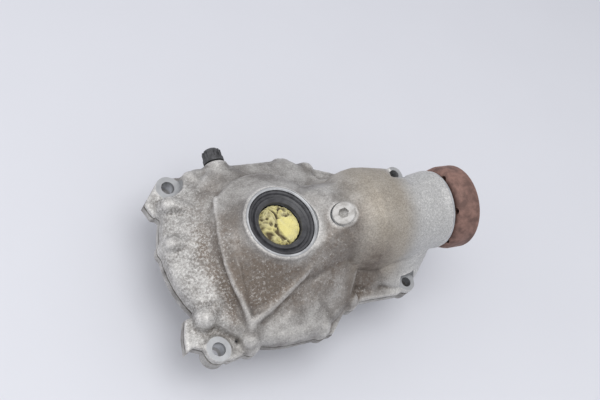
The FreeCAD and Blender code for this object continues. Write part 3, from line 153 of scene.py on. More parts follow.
def turned_solid(profile, place=Matrix(), steps=96):
    """A closed solid turned from (radius, level) points in mm, as a bmesh in metres."""
    solid = bmesh.new()
    rings = []
    for radius, level in profile:
        count = steps if radius else 1
        turns = [2 * math.pi * k / count for k in range(count)]
        rings.append([solid.verts.new((radius * math.cos(t), radius * math.sin(t), level))
                      for t in turns])
    for low, high in zip(rings, rings[1:]):
        for k in range(steps):
            corners = [low[k % len(low)], low[(k + 1) % len(low)],
                       high[(k + 1) % len(high)], high[k % len(high)]]
            solid.faces.new(list(dict.fromkeys(corners)))
    bmesh.ops.recalc_face_normals(solid, faces=solid.faces)
    bmesh.ops.transform(solid, matrix=place @ Matrix.Scale(0.001, 4), verts=solid.verts)
    return solid


def gathered(name, solids, material=None):
    """One object from several bmeshes, which it frees."""
    mesh = bpy.data.meshes.new(name)
    whole = bmesh.new()
    for solid in solids:
        solid.to_mesh(mesh)
        whole.from_mesh(mesh)
        solid.free()
    whole.to_mesh(mesh)
    whole.free()
    if material:
        mesh.materials.append(material)
    thing = bpy.data.objects.new(name, mesh)
    bpy.context.scene.collection.objects.link(thing)
    return thing


def welded(thing):
    """A bmesh copy of a piece with its loose triangles joined."""
    copy = bmesh.new()
    copy.from_mesh(thing.data)
    bmesh.ops.remove_doubles(copy, verts=copy.verts, dist=1e-6)
    return copy


def settle(thing):
    """Applies an object's modifiers."""
    seen = thing.evaluated_get(bpy.context.evaluated_depsgraph_get())
    mesh = bpy.data.meshes.new_from_object(seen)
    thing.modifiers.clear()
    thing.data = mesh


def points_of(mesh):
    """A mesh's points in metres, and its edges, as arrays."""
    points = np.empty(len(mesh.vertices) * 3)
    mesh.vertices.foreach_get("co", points)
    edges = np.empty(len(mesh.edges) * 2, dtype=np.int64)
    mesh.edges.foreach_get("vertices", edges)
    return points.reshape(-1, 3), edges.reshape(-1, 2)


def normals_of(mesh):
    """Which way each point of a mesh faces, as an array."""
    normals = np.empty(len(mesh.vertices) * 3)
    mesh.vertices.foreach_get("normal", normals)
    return normals.reshape(-1, 3)


def relaxed(points, edges, rounds):
    """Each point moved half way to the middle of its neighbours, again and again."""
    ends = np.concatenate([edges[:, 0], edges[:, 1]])
    others = np.concatenate([edges[:, 1], edges[:, 0]])
    count = np.maximum(np.bincount(ends, minlength=len(points)), 1)[:, None]
    for _ in range(rounds):
        total = np.stack([np.bincount(ends, weights=points[others, k], minlength=len(points))
                          for k in range(3)], axis=1)
        points = 0.5 * points + 0.5 * total / count
    return points


def fused(name, solids):
    """One evenly meshed skin round several overlapping solids."""
    thing = gathered(name, solids)
    remesh = thing.modifiers.new("even", "REMESH")
    remesh.mode = "VOXEL"
    remesh.voxel_size = VOXEL
    settle(thing)
    return thing


def rounded(thing, rounds):
    """Rounds a piece's edges and corners as a sand mould does."""
    points, edges = points_of(thing.data)
    thing.data.vertices.foreach_set("co", relaxed(points, edges, rounds).ravel())
    thing.data.update()


def hull(points):
    """The closed solid stretched round points in mm."""
    solid = bmesh.new()
    for point in points:
        solid.verts.new(Vector(point) / 1000)
    made = bmesh.ops.convex_hull(solid, input=solid.verts)
    left = {v for v in made["geom_interior"] + made["geom_unused"]
            if isinstance(v, bmesh.types.BMVert) and not v.link_faces}
    bmesh.ops.delete(solid, geom=list(left), context="VERTS")
    bmesh.ops.recalc_face_normals(solid, faces=solid.faces)
    return solid


def swelling(*balls):
    """The solid stretched round balls given as (x, y, z, radius) in mm."""
    points = []
    for x, y, z, radius in balls:
        for k in range(BALL_POINTS):
            level = 1 - 2 * (k + 0.5) / BALL_POINTS
            across = math.sqrt(1 - level * level)
            turn = GOLDEN_TURN * k
            points.append((x + radius * across * math.cos(turn),
                           y + radius * across * math.sin(turn), z + radius * level))
    return hull(points)


def strip(stations):
    """A closed strip lofted through cross-sections, each a loop of points in mm."""
    solid = bmesh.new()
    loops = [[solid.verts.new(Vector(point) / 1000) for point in loop] for loop in stations]
    for one, two in zip(loops, loops[1:]):
        for k in range(len(one)):
            after = (k + 1) % len(one)
            solid.faces.new((one[k], one[after], two[after], two[k]))
    solid.faces.new(loops[0])
    solid.faces.new(loops[-1])
    bmesh.ops.recalc_face_normals(solid, faces=solid.faces)
    return solid


def machined(thing, cutter):
    """Cuts a solid out of a piece; the cut faces take the cutter's finish."""
    cut = thing.modifiers.new("cut", "BOOLEAN")
    cut.operation = "DIFFERENCE"
    cut.solver = "MANIFOLD"
    cut.material_mode = "TRANSFER"
    cut.object = cutter
    settle(thing)
    bpy.data.objects.remove(cutter)


def smooth_step(low, high, value):
    """0 below low, 1 above high, and an even slope between them."""
    part = np.clip((value - low) / (high - low), 0, 1)
    return part * part * (3 - 2 * part)


def note_relief(thing):
    """Stores how far each point lies in a hollow, or stands out on an edge, from 0 to 1."""
    points, edges = points_of(thing.data)
    away = relaxed(points, edges, RELIEF_ROUNDS) - points
    depth = (away * normals_of(thing.data)).sum(1) * 1000
    for name, value in (("hollow", smooth_step(0.2, 1.5, depth)),
                        ("ridge", smooth_step(0.35, 1.7, -depth))):
        layer = thing.data.attributes.new(name, "FLOAT", "POINT")
        layer.data.foreach_set("value", value)
    return points * 1000


# Weathered cast aluminium: a fine-grained grey skin, chalky white where it oxidised in
# specks, darker in patches, darker in its hollows with grime and painted shade, and rubbed
# bright on its edges. The dirt is road dirt and oil, with painted shade in the pocket beside
# the tube and a painted shadow in the groove beside the left rib; the tan part of the tube
# is oil varnish baked on. The patches are 24 mm wide, the blotches 6 mm, the specks 2.3 mm,
# the mottle 1.6 mm and the sand grain 0.6 mm.
cast, tree = finish_named("weathered_cast_aluminium")
place = put(tree, "ShaderNodeTexCoord").outputs["Object"]
patch = put(tree, "ShaderNodeTexNoise", {"Vector": place, "Scale": 42, "Detail": 4,
                                         "Roughness": 0.6})
blotch = put(tree, "ShaderNodeTexNoise", {"Vector": place, "Scale": 170, "Detail": 5,
                                          "Roughness": 0.65})
speck = put(tree, "ShaderNodeTexNoise", {"Vector": place, "Scale": 430, "Detail": 6,
                                         "Roughness": 0.78})
grain = put(tree, "ShaderNodeTexNoise", {"Vector": place, "Scale": 1600, "Detail": 3,
                                         "Roughness": 0.7})
grime_with_shade = put(tree, "ShaderNodeAttribute", attribute_name="grime_with_shade").outputs["Fac"]
varnish = put(tree, "ShaderNodeAttribute", attribute_name="varnish").outputs["Fac"]
chalk = put(tree, "ShaderNodeAttribute", attribute_name="chalk").outputs["Fac"]
hollow = put(tree, "ShaderNodeAttribute", attribute_name="hollow").outputs["Fac"]
ridge = put(tree, "ShaderNodeAttribute", attribute_name="ridge").outputs["Fac"]
skin = put(tree, "ShaderNodeValToRGB", {"Fac": patch.outputs["Fac"]})
skin.color_ramp.elements[0].position = 0.38
skin.color_ramp.elements[0].color = linear("7E7B78")
skin.color_ramp.elements[1].position = 0.6
skin.color_ramp.elements[1].color = linear("B0AEAB")
warm = put(tree, "ShaderNodeMix", {"Factor": varnish, "A": skin.outputs["Color"],
                                   "B": linear("A59C8E")}, data_type="RGBA", clamp_factor=True)
bare = put(tree, "ShaderNodeAttribute", attribute_name="bare").outputs["Fac"]
silvery = put(tree, "ShaderNodeMix", {"Factor": bare, "A": warm.outputs["Result"],
                                      "B": linear("B9B9B8")}, data_type="RGBA",
              clamp_factor=True)
# the dirt mask carries painted shade too, in the pocket and the groove, and darkens them towards
# 6B6158 in blotches
broken = put(tree, "ShaderNodeMath", {0: blotch.outputs["Fac"], 1: grime_with_shade}, operation="MULTIPLY")
reach = put(tree, "ShaderNodeMath", {0: broken.outputs[0], 1: 1.9}, operation="MULTIPLY",
            use_clamp=True)
dirtied_and_shaded = put(tree, "ShaderNodeMix", {"Factor": reach.outputs[0], "A": silvery.outputs["Result"],
                                    "B": linear("6B6158")}, data_type="RGBA")
# The hollows are darkened towards 5F5750 in blotches: partly grime, partly painted shade.
hollow_blotches = put(tree, "ShaderNodeMath", {0: blotch.outputs["Fac"], 1: 1.25},
              operation="MULTIPLY")
hollow_grime_and_shade = put(tree, "ShaderNodeMath", {0: hollow, 1: hollow_blotches.outputs[0]}, operation="MULTIPLY",
           use_clamp=True)
dark = put(tree, "ShaderNodeMix", {"Factor": hollow_grime_and_shade.outputs[0], "A": dirtied_and_shaded.outputs["Result"],
                                   "B": linear("5F5750")}, data_type="RGBA")
spread = put(tree, "ShaderNodeMath", {0: patch.outputs["Fac"], 1: chalk}, operation="ADD")
rarer = put(tree, "ShaderNodeMath", {0: spread.outputs[0], 1: -0.16, 2: 0.69},
            operation="MULTIPLY_ADD")
beyond = put(tree, "ShaderNodeMath", {0: speck.outputs["Fac"], 1: rarer.outputs[0]},
             operation="SUBTRACT")
flake = put(tree, "ShaderNodeMath", {0: beyond.outputs[0], 1: 6}, operation="MULTIPLY",
            use_clamp=True)
thin = put(tree, "ShaderNodeMath", {0: flake.outputs[0], 1: 0.7}, operation="MULTIPLY")
chalky = put(tree, "ShaderNodeMix", {"Factor": thin.outputs[0], "A": dark.outputs["Result"],
                                     "B": linear("CFCECB")}, data_type="RGBA")
worn = put(tree, "ShaderNodeMath", {0: ridge, 1: blotch.outputs["Fac"]}, operation="MULTIPLY",
           use_clamp=True)
bright = put(tree, "ShaderNodeMix", {"Factor": worn.outputs[0], "A": chalky.outputs["Result"],
                                     "B": linear("CFCDCA")}, data_type="RGBA")
mottle = put(tree, "ShaderNodeTexNoise", {"Vector": place, "Scale": 620, "Detail": 8,
                                          "Roughness": 0.85})
uneven = put(tree, "ShaderNodeMath", {0: mottle.outputs["Fac"], 1: 2.7, 2: -0.33},
             operation="MULTIPLY_ADD")
mottled = put(tree, "ShaderNodeVectorMath", {0: bright.outputs["Result"],
                                             "Scale": uneven.outputs[0]}, operation="SCALE")
fine = put(tree, "ShaderNodeMath", {0: grain.outputs["Fac"], 1: speck.outputs["Fac"]},
           operation="ADD")
relief = put(tree, "ShaderNodeBump", {"Height": fine.outputs[0], "Strength": 0.35,
                                      "Distance": 0.0004})
shader = put(tree, "ShaderNodeBsdfPrincipled", {"Base Color": mottled.outputs[0],
                                                "Metallic": 0.45, "Roughness": 0.52,
                                                "Normal": relief.outputs["Normal"]})
put(tree, "ShaderNodeOutputMaterial", {"Surface": shader.outputs[0]})

# Machined aluminium: milled or bored faces, even and lighter than the cast skin, with tool
# marks 0.8 mm apart, drawn coarser than they are so that they show, under a film of oil.
milled, tree = finish_named("machined_aluminium")
place = put(tree, "ShaderNodeTexCoord").outputs["Object"]
film = put(tree, "ShaderNodeTexNoise", {"Vector": place, "Scale": 120, "Detail": 4})
tone = put(tree, "ShaderNodeMix", {"Factor": film.outputs["Fac"], "A": linear("8F9092"),
                                   "B": linear("BABBBC")}, data_type="RGBA")
marks = put(tree, "ShaderNodeTexNoise", {"Vector": place, "Scale": 1300, "Detail": 2})
relief = put(tree, "ShaderNodeBump", {"Height": marks.outputs["Fac"], "Strength": 0.2,
                                      "Distance": 0.0002})
shader = put(tree, "ShaderNodeBsdfPrincipled", {"Base Color": tone.outputs["Result"],
                                                "Metallic": 0.6, "Roughness": 0.45,
                                                "Normal": relief.outputs["Normal"]})
put(tree, "ShaderNodeOutputMaterial", {"Surface": shader.outputs[0]})

# (x, y, top of the lug, hole radius, lug radius) in mm
LUGS = [(-76, 69, 73, 6.3, 11.6), (-71, -90, 73, 6.3, 11.6), (154.5, 43.8, 98.5, 5, 9.6),
        (140, -62, 73, 5, 9.6)]
# (x, y, level at which the hole ends) of each cover screw, in mm
SCREWS = [(-53, 73, 76), (-84, 48, 76), (-91, 9, 76), (-79, -63, 76), (-40, -91, 76),
          (32, -90, 76), (72, -69, 69), (104, -56, 69), (50, 79, 76), (104, 56, 69)]

# the CAD casting with its bores stopped, so that its skin can be made afresh
fills = [welded(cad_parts["main_housing"]),
         turned_solid([(0, 64.4), (83, 64.4), (83, 70), (0, 70)]),
         turned_solid([(0, 100), (37.2, 100), (37.2, 124.8), (0, 124.8)]),
         turned_solid([(0, 150), (36, 150), (39.4, 174), (39.4, 179.2), (0, 179.2)],
                      PINION_AXIS),
         turned_solid([(0, -14), (9.6, -14), (9.6, 3.8), (0, 3.8)], PLUG_SEAT)]
# The drum's room, the filler hole, the breather hole and the pinion's bore run into each
# other, so each is cut by itself. The lugs' faces and holes and the screw holes are apart.
rooms = [turned_solid([(0, 50), (80, 50), (80, 71.5), (76, 80.5), (68, 86.5), (50, 94), (36, 94),
                       (36, 109.1), (31, 109.1), (31, 113.6), (33.5, 113.6), (33.5, 123.6),
                       (34.6, 123.9), (34.6, 130), (0, 130)]),
         turned_solid([(0, -13), (9.05, -13), (9.05, 3), (12, 3), (13, 12), (0, 12)], PLUG_SEAT),
         turned_solid([(0, 60), (4, 60), (4, 82), (13.5, 82), (13.5, 90), (0, 90)],
                      BREATHER_AXIS),
         turned_solid([(0, 45), (14, 45), (22, 52), (26, 59), (33, 70), (33, 106.2),
                       (28.5, 106.2), (28.5, 125), (31, 133), (31, 160), (32, 160), (32, 164),
                       (33, 164), (33, 178), (44, 178), (44, 184), (0, 184)], PINION_AXIS)]
cuts = []
for x, y, top, hole, lug in LUGS:
    place = Matrix.Translation((x / 1000, y / 1000, 0))
    fills.append(turned_solid([(0, 66), (lug, 66), (lug, top + 1.2), (0, top + 1.2)], place))
    cuts.append(turned_solid([(0, 50), (hole, 50), (hole, top), (lug + 1, top),
                              (lug + 1, top + 9), (0, top + 9)], place))
for x, y, stop in SCREWS:
    place = Matrix.Translation((x / 1000, y / 1000, 0))
    cuts.append(turned_solid([(0, 60), (4, 60), (4, stop), (0, stop + 2)], place, 24))
housing = fused("rough_casting", fills)

# The wedge stands above the drum: the drum's own roof shows on both sides of it. Each cut
# follows a rib and is given by the rib's (x, y), the way out from it, and the levels beside
# the rib, at its foot and at the far side of the cut, 3, 7 and 17 mm out from it.
OPEN_LEVEL = 128
LEFT_SIDE = [(-44, 46, (-1, 0.15), 96, 95, 96), (-50, 26, (-1, 0.1), 105, 98, 95),
             (-52.5, 11, (-1, 0.05), 105, 97, 93), (-54, -3, (-1, 0), 104, 96, 92),
             (-54, -25, (-1, -0.05), 102, 93, 91), (-51.6, -41.5, (-0.98, -0.2), 97, 88.5, 89),
             (-47.6, -55.6, (-0.95, -0.3), 93, 86.5, 87),
             (-43, -71.5, (-0.93, -0.36), 90, 85, 85)]
RIGHT_WAY = (0.52, -0.85)
RIGHT_SIDE = [(-36, -75, RIGHT_WAY, 88, 86, 85), (-23.3, -68.5, RIGHT_WAY, 92, 89, 87),
              (-3.5, -56.7, RIGHT_WAY, 100, 96, 92), (18.6, -43, RIGHT_WAY, 106, 101, 96),
              (36, -31, RIGHT_WAY, 108, 104, 100)]
sides = [strip([[(x + out_x * reach, y + out_y * reach, level)
                 for reach, level in ((3, OPEN_LEVEL), (3, beside), (7, foot), (17, far),
                                      (17, OPEN_LEVEL))]
                for x, y, (out_x, out_y), beside, foot, far in stations])
         for stations in (LEFT_SIDE, RIGHT_SIDE)]
# a flat on the tube's shoulder leaves room for the screw of the upper right lug; its ways
# are across the flat, up along it, and out of it
EAR = Vector((154.5, 43.8, 98.5))
flat = [EAR + Vector((0.872, -0.301, 0.386)) * across + Vector((0.113, 0.891, 0.44)) * up
        + Vector((-0.476, -0.341, 0.811)) * along
        for across in (-9.5, 9.5) for up in (-4.5, 16) for along in (-0.5, 95)]
machined(housing, gathered("wedge_sides", [*sides, hull(flat)]))

# Rounded forms: the two ribs, the saddle from the seal cone up to the tube, the hump beside
# it, the flank down to the lower right lug, the foot of the breather, and the screw bosses.
LEFT_RIB = [(-46, 38, 103), (-50, 26, 106), (-52.5, 11, 106.8), (-54, -3, 106),
            (-54, -25, 103.5), (-51.6, -41.5, 100.5), (-47.6, -55.6, 96.5), (-43, -71.5, 91),
            (-41, -79, 88)]
RIGHT_RIB = [(-41, -77, 88.5), (-23.3, -68.5, 93.8), (-3.5, -56.7, 103.8), (12, -47, 109.2),
             (28, -37, 111.8), (46, -25, 115), (60, -16, 121)]
# (x, y, top, radius) of each boss for a cover screw, which leans in towards the drum
BOSSES = [(-55, 72, 88, 8.5), (-83, 47, 92, 8.5), (-90, 9, 91.5, 8.5), (-78, -62, 89, 10),
          (-41, -88, 87, 9.5), (33, -88, 84, 8.5), (71, -68, 82, 8.5), (103, -56, 76, 8),
          (42, 77, 85, 9), (70, 70, 83, 9.5)]
forms = []
for rib, radius in ((LEFT_RIB, 3.6), (RIGHT_RIB, 4.4)):
    forms += [swelling((*one, radius), (*two, radius)) for one, two in zip(rib, rib[1:])]
ring_turns = [math.radians(t) for t in (-72, -50, -25, 0, 25, 48)]
nose_turns = [math.radians(t) for t in (-95, -70, -45, -20, 0, 20, 45, 70, 95)]
# saddle
forms.append(hull([(36 * math.cos(t), 36 * math.sin(t), 120.5) for t in ring_turns]
                  + [(53 * math.cos(t), 53 * math.sin(t), 106) for t in ring_turns]
                  + [(66, 39.5 * math.sin(t), 101 + 39.5 * math.cos(t)) for t in nose_turns]
                  + [(30, -48, 96), (30, 44, 96), (66, -44, 84), (66, 44, 84)]))
# hump
forms.append(swelling((34, -46, 98, 5), (53, -38, 106, 5), (71, -46, 97, 5), (64, -65, 82, 5),
                      (40, -74, 79, 5), (14, -62, 88, 5)))
# the tube's lower flank, and its web down to the lower right lug and on to the hump
forms.append(hull([(x, radius * math.sin(t), 101 + radius * math.cos(t))
                   for x, radius in ((102, 49), (128, 45.8), (171, 38.8))
                   for t in [math.radians(d) for d in range(-120, 16, 15)]]))
forms.append(swelling((108, -36, 96, 10), (160, -26, 95, 10), (168, -30, 90, 5),
                      (112, -57, 77, 5), (134, -61, 70, 6), (153, -53, 69, 5),
                      (169, -38, 70, 4)))
forms.append(swelling((78, -40, 88, 8), (110, -40, 86, 8), (84, -54, 73, 5),
                      (108, -56, 73, 5)))
# foot of the breather
forms.append(swelling((-29, 69, 85, 12.5), (-16, 62, 86, 12), (-42, 60, 85, 11),
                      (-28, 50, 92, 10), (-29, 66, 74, 14)))
for x, y, top, radius in BOSSES:
    forms.append(swelling((x, y, top - radius, radius), (0.95 * x, 0.95 * y, 70, radius + 2),
                          (0.82 * x, 0.82 * y, top - radius + 1, radius - 1)))
forms.append(welded(housing))
bpy.data.objects.remove(housing)
housing = fused("main_housing_casting", forms)
rounded(housing, MOULD_ROUNDS)
# A cast skin is never quite even: it swells by up to 0.4 mm over 15 mm, and by 0.2 mm over
# 5 mm.
points = points_of(housing.data)[0]
normals = normals_of(housing.data)
swells = [0.0004 * noise.noise(Vector(p) * 65) + 0.00022 * noise.noise(Vector(p) * 200)
          for p in points]
# the tube's own pattern piece met the drum's at x 70, and left a shallow line there
x, y, z = points.T * 1000
line = np.exp(-((x - 70) / 1.1) ** 2) * smooth_step(-14, -4, y) * smooth_step(100, 110, z)
points += normals * (np.array(swells) - 0.0007 * line)[:, None]
housing.data.vertices.foreach_set("co", points.ravel())
housing.data.update()
housing.data.materials.clear()
housing.data.materials.append(cast)
machined(housing, gathered("bores", cuts, milled))
for room in rooms:
    machined(housing, gathered("room", [room], milled))
# where the dirt, the painted shade, the varnish, the chalk and the bare metal lie, in mm round
# the drum's axis
x, y, z = note_relief(housing).T
around = np.hypot(x, y)
cone_stain = smooth_step(36, 44, around) * (1 - smooth_step(66, 82, around))
cone_stain *= 1 - smooth_step(10, 50, x) * smooth_step(-10, 10, y)
cone_stain *= 1 - 0.85 * smooth_step(10, 30, y)
wedge_stain = np.exp(-((x + 22) ** 2 + (y + 46) ** 2) / 480)
side_stain = smooth_step(60, 68, around) * (1 - smooth_step(72, 84, around))
side_stain *= smooth_step(20, 50, -x)
# the pocket beside the tube: dirt, with painted shade for its depth
pocket_dirt_and_shade = np.exp(-((x - 88) ** 2 + (y + 56) ** 2) / 260)
# painted shadow: a dark line down the groove beside the lower part of the left rib
painted_groove_shadow = np.exp(-((x + 53 - 0.1 * (y + 50)) / 3.5) ** 2 - ((y + 50) / 20) ** 2)
# darker round the foot of the left rib
foot_darkening = np.exp(-((x + 58) ** 2 + (y + 60) ** 2) / 420)
tip_stain = np.exp(-((x - 66) ** 2 + (y + 66) ** 2) / 500)
on_tube = smooth_step(50, 90, x) * (1 - smooth_step(112, 150, x)) * smooth_step(75, 100, z)
layers = {"grime_with_shade": np.clip(0.1 + 0.6 * cone_stain + 0.3 * side_stain + 0.95 * pocket_dirt_and_shade
                           + 0.5 * tip_stain + 0.6 * wedge_stain + 0.45 * foot_darkening
                           + 0.7 * painted_groove_shadow, 0, 1.3),
          "varnish": on_tube * 0.75,
          "chalk": np.clip(0.35 + smooth_step(40, 80, -x) * 0.75
                           - on_tube * 0.6 + smooth_step(118, 150, x) * 0.5
                           + 0.2 * wedge_stain, 0, 1.5),
          "bare": smooth_step(112, 145, x)}
for name, value in layers.items():
    layer = housing.data.attributes.new(name, "FLOAT", "POINT")
    layer.data.foreach_set("value", value)
for face in housing.data.polygons:
    face.use_smooth = face.material_index == 0
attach(housing, "housing")
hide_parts("main_housing")


# Side cover: the dished casting under the drum, with the lower halves of the lugs and the
# spigot that enters the sump. The same cast aluminium, from the same kind of mould.

def dressed(names, material):
    """Gives CAD nodes, which keep their shape, the finish of the real piece."""
    for name in names:
        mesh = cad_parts[name].data
        mesh.materials.clear()
        mesh.materials.append(material)


dressed(["side_cover"], cast)


# Joint sealant: the bead between the two castings, seen as the dark line of the seam.
# Silicone, laid on as a paste before they were screwed together.

def two_tone(name, light, dark, metallic, roughness, patch_mm, grain_mm, depth=0.2):
    """A finish in two tones, which lie in patches, with a grain in relief."""
    material, tree = finish_named(name)
    place = put(tree, "ShaderNodeTexCoord").outputs["Object"]
    patch = put(tree, "ShaderNodeTexNoise", {"Vector": place, "Scale": 1000 / patch_mm,
                                             "Detail": 4, "Roughness": 0.6})
    tone = put(tree, "ShaderNodeValToRGB", {"Fac": patch.outputs["Fac"]})
    tone.color_ramp.elements[0].position = 0.38
    tone.color_ramp.elements[0].color = linear(dark)
    tone.color_ramp.elements[1].position = 0.6
    tone.color_ramp.elements[1].color = linear(light)
    grain = put(tree, "ShaderNodeTexNoise", {"Vector": place, "Scale": 1000 / grain_mm,
                                             "Detail": 3})
    relief = put(tree, "ShaderNodeBump", {"Height": grain.outputs["Fac"], "Strength": depth,
                                          "Distance": 0.0003})
    shader = put(tree, "ShaderNodeBsdfPrincipled", {"Base Color": tone.outputs["Color"],
                                                    "Metallic": metallic,
                                                    "Roughness": roughness,
                                                    "Normal": relief.outputs["Normal"]})
    put(tree, "ShaderNodeOutputMaterial", {"Surface": shader.outputs[0]})
    return material


# Cured silicone: dark grey, matt and smooth to the eye.
silicone = two_tone("silicone_sealant", light="4C4A48", dark="3A3836", metallic=0.0,
                    roughness=0.6, patch_mm=5, grain_mm=0.9)
dressed(["joint_sealant"], silicone)


# Cover screws and dowel sleeves: ten screws hold the cover from below, and two sleeves set
# it in place. Turned steel, plated with zinc.

# Zinc plate: pale grey with a soft shine, a little cloudy in patches of about 12 mm.
zinc = two_tone("zinc_plated_steel", light="C9CACB", dark="A9AAAC", metallic=0.8,
                roughness=0.35, patch_mm=12, grain_mm=0.9)
dressed(["cover_screws", "dowel_sleeves"], zinc)


# Differential carrier: the cage that the ring gear is bolted to and that holds the small
# gears. Cast in ductile iron, and turned only at its seats.

# Oiled ductile iron: dark grey and dull, with the roughness of its sand mould.
iron = two_tone("oiled_ductile_iron", light="6C6864", dark="524E4B", metallic=0.7,
                roughness=0.55, patch_mm=10, grain_mm=0.9, depth=0.35)
dressed(["diff_carrier"], iron)


# Gears, pinion, cross pin, shims and crush sleeve: forged or turned steel, the teeth cut,
# hardened and lapped in pairs. Ten screws hold the ring gear on the carrier.

# Lapped gear steel: mid grey, smooth and half shiny under its oil.
gear_steel = two_tone("lapped_gear_steel", light="8E9092", dark="6F7173", metallic=0.9,
                      roughness=0.38, patch_mm=12, grain_mm=0.7)
dressed(["ring_gear", "ring_gear_screws", "pinion_shaft", "side_gear_upper",
         "side_gear_lower", "spider_gear_front", "spider_gear_rear", "cross_pin",
         "cross_pin_lock", "carrier_shim", "pinion_shim", "crush_sleeve"], gear_steel)


# Thrust washers: thin rings and cups that the side gears and spider gears run against.
# Pressed from powder and sintered.

# Sintered bronze: a dull golden brown with fine pores.
bronze = two_tone("sintered_bronze", light="B08A5A", dark="93714A", metallic=0.9,
                  roughness=0.42, patch_mm=8, grain_mm=0.7)
dressed(["side_washer_upper", "side_washer_lower", "spider_washer_front",
         "spider_washer_rear"], bronze)


# Bearings: four roller bearings, two for the carrier and two for the pinion, each with an
# outer and an inner race, rollers and a cage. Hardened steel, ground all over, pressed on.

# Ground bearing steel: bright and even, with a lay too fine to see, drawn at 0.6 mm.
ground_steel = two_tone("ground_bearing_steel", light="C6C7C8", dark="AEB0B2", metallic=1.0,
                        roughness=0.25, patch_mm=14, grain_mm=0.6)
dressed([bearing + part
         for bearing in ("upper_bearing", "lower_bearing", "rear_pinion_bearing",
                         "front_pinion_bearing")
         for part in ("_outer_race", "_inner_race", "_rollers", "_cage")], ground_steel)


# Input flange: the flange on the end of the pinion that the propeller shaft bolts to, a
# rusty forging. Its nut and the pressed dust shield behind it are zinc-plated steel.

# Rust on forged steel: matt red-brown in patches of about 9 mm, with a scaly skin.
rust = two_tone("rusted_forged_steel", light="88695F", dark="634B44", metallic=0.15,
                roughness=0.68, patch_mm=9, grain_mm=0.8, depth=0.5)
dressed(["input_flange"], rust)
dressed(["pinion_nut", "dust_shield"], zinc)


# Seals: one round each output shaft and one round the flange, each a pressed steel case with
# a moulded rubber lip, driven into its bore. The ring in the spigot's groove is rubber too.

# Nitrile rubber: black, with the dull shine of a moulded and oiled surface.
rubber = two_tone("nitrile_rubber", light="424245", dark="303033", metallic=0.0,
                  roughness=0.4, patch_mm=6, grain_mm=0.9)
dressed(["upper_seal_case", "lower_seal_case", "pinion_seal_case"], zinc)
dressed(["upper_seal_lip", "lower_seal_lip", "pinion_seal_lip", "spigot_o_ring"], rubber)


# Filler plug: a plug with a hexagon socket, screwed in beside the seal boss on its washer.
# Cast aluminium with turned faces.

# Aluminium of the plug: lighter and smoother than the housing's skin.
plug_skin = two_tone("cast_plug_aluminium", light="C2C0BD", dark="A3A09C", metallic=0.4,
                     roughness=0.5, patch_mm=7, grain_mm=0.8, depth=0.3)
dressed(["filler_plug", "filler_plug_washer"], plug_skin)


# Breather: a plated steel pipe pressed into the side of the drum, which lets warm air out,
# under a moulded nylon cap that keeps water off it.

# Glass-filled nylon: black, faded to a dark grey, with a slight shine.
nylon = two_tone("glass_filled_nylon", light="4A4A4C", dark="2C2C2E", metallic=0.0,
                 roughness=0.5, patch_mm=5, grain_mm=0.8, depth=0.3)
dressed(["breather_pipe"], zinc)
dressed(["breather_cap"], nylon)


# Rag: a square of yellow cotton cleaning cloth, crumpled by hand and pushed into the open
# bore so that no dirt gets in. One corner lies folded over the rest as a smooth flap.

RAG_RADIUS = 19.6
AROUND = 220
FROM_MIDDLE = 60
low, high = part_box("bore_rag")
crown = high.z * 1000
foot = crown - 8
end = low.z * 1000 + 0.2
# (radius, level) of the wad from the middle of its top to the end of its stem
outline = [(RAG_RADIUS * k / FROM_MIDDLE, crown - 2.2 * (k / FROM_MIDDLE) ** 6)
           for k in range(FROM_MIDDLE + 1)]
outline += [(RAG_RADIUS + 0.3, crown - 3.2), (RAG_RADIUS + 0.2, crown - 5),
            (RAG_RADIUS - 0.6, crown - 6.8), (RAG_RADIUS - 2, foot + 0.2), (15, foot + 0.2),
            (14.8, foot - 1), (14.6, end + 0.4), (13, end), (0, end)]


def folds(x, y):
    """Height in mm that the crumpled cloth adds at a point of the wad's top, and whether
    the flap lies over that point, from 0 to 1."""
    warp = Vector([0.9 * noise.noise(Vector((x * 0.09 + shift, y * 0.09 - shift, 3.1)))
                   for shift in (9.3, 0.0, 4.7)])
    at = Vector((x * 0.12, y * 0.12, 0.0)) + warp
    first = 1 - abs(noise.noise(at * 1.35)) * 2.6
    second = 1 - abs(noise.noise(at * 3.1 + Vector((5, 2, 9)))) * 2.2
    edge = x - (0.028 * (y + 1) ** 2 - 2.6)
    over = min(max(edge / 0.9, 0), 1) * min(max((6.1 + 0.11 * x - y) / 0.9, 0), 1)
    rough = 1.7 * (first - 0.45) + 0.8 * (second - 0.5)
    calm = 0.45 * (second - 0.5) + 0.5 * math.sin(0.5 * x + 0.35 * y)
    shadow = -1.1 * math.exp(-((edge + 0.7) / 0.9) ** 2)
    return rough * (1 - over) + (1.5 + calm) * over + shadow, over


# creases: painted shade, darker the lower the cloth lies at each point of the wad's top
rings, creases, flap = [], [], []
rag_mesh = bmesh.new()
for radius, level in outline:
    ring = []
    for k in range(AROUND if radius else 1):
        turn = 2 * math.pi * k / AROUND
        x, y = radius * math.cos(turn), radius * math.sin(turn)
        lift, over = folds(x, y)
        lift = lift - 1.9 if level > crown - 3 else 0
        pull = 0.8 * noise.noise(Vector((x * 0.3, y * 0.3, level * 0.35))) if radius > 10 else 0
        pull = min(pull - 0.35, 0) if level > foot else 0
        grow = (radius + pull) / radius if radius else 1
        ring.append(rag_mesh.verts.new((x * grow / 1000, y * grow / 1000,
                                        (level + lift) / 1000)))
        flap.append(over)
        creases.append(min(max(0.35 - 0.42 * (lift + 1.4), 0), 1))
    rings.append(ring)
for low_ring, high_ring in zip(rings, rings[1:]):
    for k in range(AROUND):
        corners = [low_ring[k % len(low_ring)], low_ring[(k + 1) % len(low_ring)],
                   high_ring[(k + 1) % len(high_ring)], high_ring[k % len(high_ring)]]
        rag_mesh.faces.new(list(dict.fromkeys(corners)))
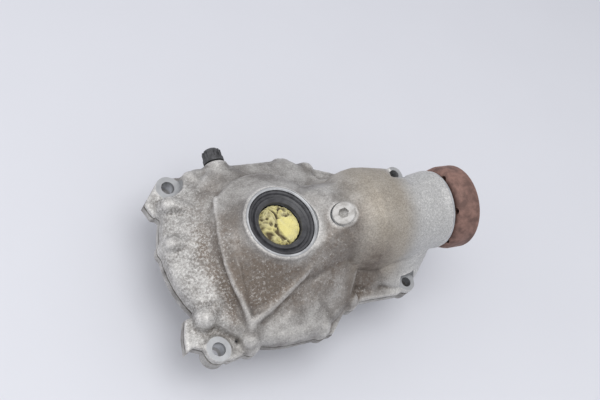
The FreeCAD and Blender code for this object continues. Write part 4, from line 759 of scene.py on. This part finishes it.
bmesh.ops.recalc_face_normals(rag_mesh, faces=rag_mesh.faces)
for face in rag_mesh.faces:
    face.smooth = True
rag = gathered("cotton_rag", [rag_mesh])
for name, value in (("crease_shade", creases), ("flap", flap)):
    layer = rag.data.attributes.new(name, "FLOAT", "POINT")
    layer.data.foreach_set("value", value)

# Woven cotton: matt, a plain weave of about 0.5 mm threads drawn as 0.9 mm so that it shows,
# pale yellow, with painted shade darkening it towards brown in the creases.
cotton, tree = finish_named("yellow_cotton")
place = put(tree, "ShaderNodeTexCoord").outputs["Object"]
crease_shade = put(tree, "ShaderNodeAttribute", attribute_name="crease_shade").outputs["Fac"]
soak = put(tree, "ShaderNodeTexNoise", {"Vector": place, "Scale": 130, "Detail": 4})
on_flap = put(tree, "ShaderNodeAttribute", attribute_name="flap").outputs["Fac"]
paler = put(tree, "ShaderNodeMath", {0: on_flap, 1: 0.22, 2: soak.outputs["Fac"]},
            operation="MULTIPLY_ADD")
cloth = put(tree, "ShaderNodeValToRGB", {"Fac": paler.outputs[0]})
cloth.color_ramp.elements[0].position = 0.35
cloth.color_ramp.elements[0].color = linear("CFC79B")
cloth.color_ramp.elements[1].position = 0.72
cloth.color_ramp.elements[1].color = linear("DAD08A")
# painted shade: the creases are darkened towards brown 5A4E34
painted_crease_shade = put(tree, "ShaderNodeMath", {0: crease_shade, 1: 1.7}, operation="POWER")
tone = put(tree, "ShaderNodeMix", {"Factor": painted_crease_shade.outputs[0], "A": cloth.outputs["Color"],
                                   "B": linear("5A4E34")}, data_type="RGBA")
threads = put(tree, "ShaderNodeTexWave", {"Vector": place, "Scale": 350, "Distortion": 1.5})
relief = put(tree, "ShaderNodeBump", {"Height": threads.outputs["Fac"], "Strength": 0.25,
                                      "Distance": 0.0002})
shader = put(tree, "ShaderNodeBsdfPrincipled", {"Base Color": tone.outputs["Result"],
                                                "Roughness": 0.9, "Sheen Weight": 0.2,
                                                "Normal": relief.outputs["Normal"]})
put(tree, "ShaderNodeOutputMaterial", {"Surface": shader.outputs[0]})
rag.data.materials.append(cotton)
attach(rag, "rag")
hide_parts("bore_rag")
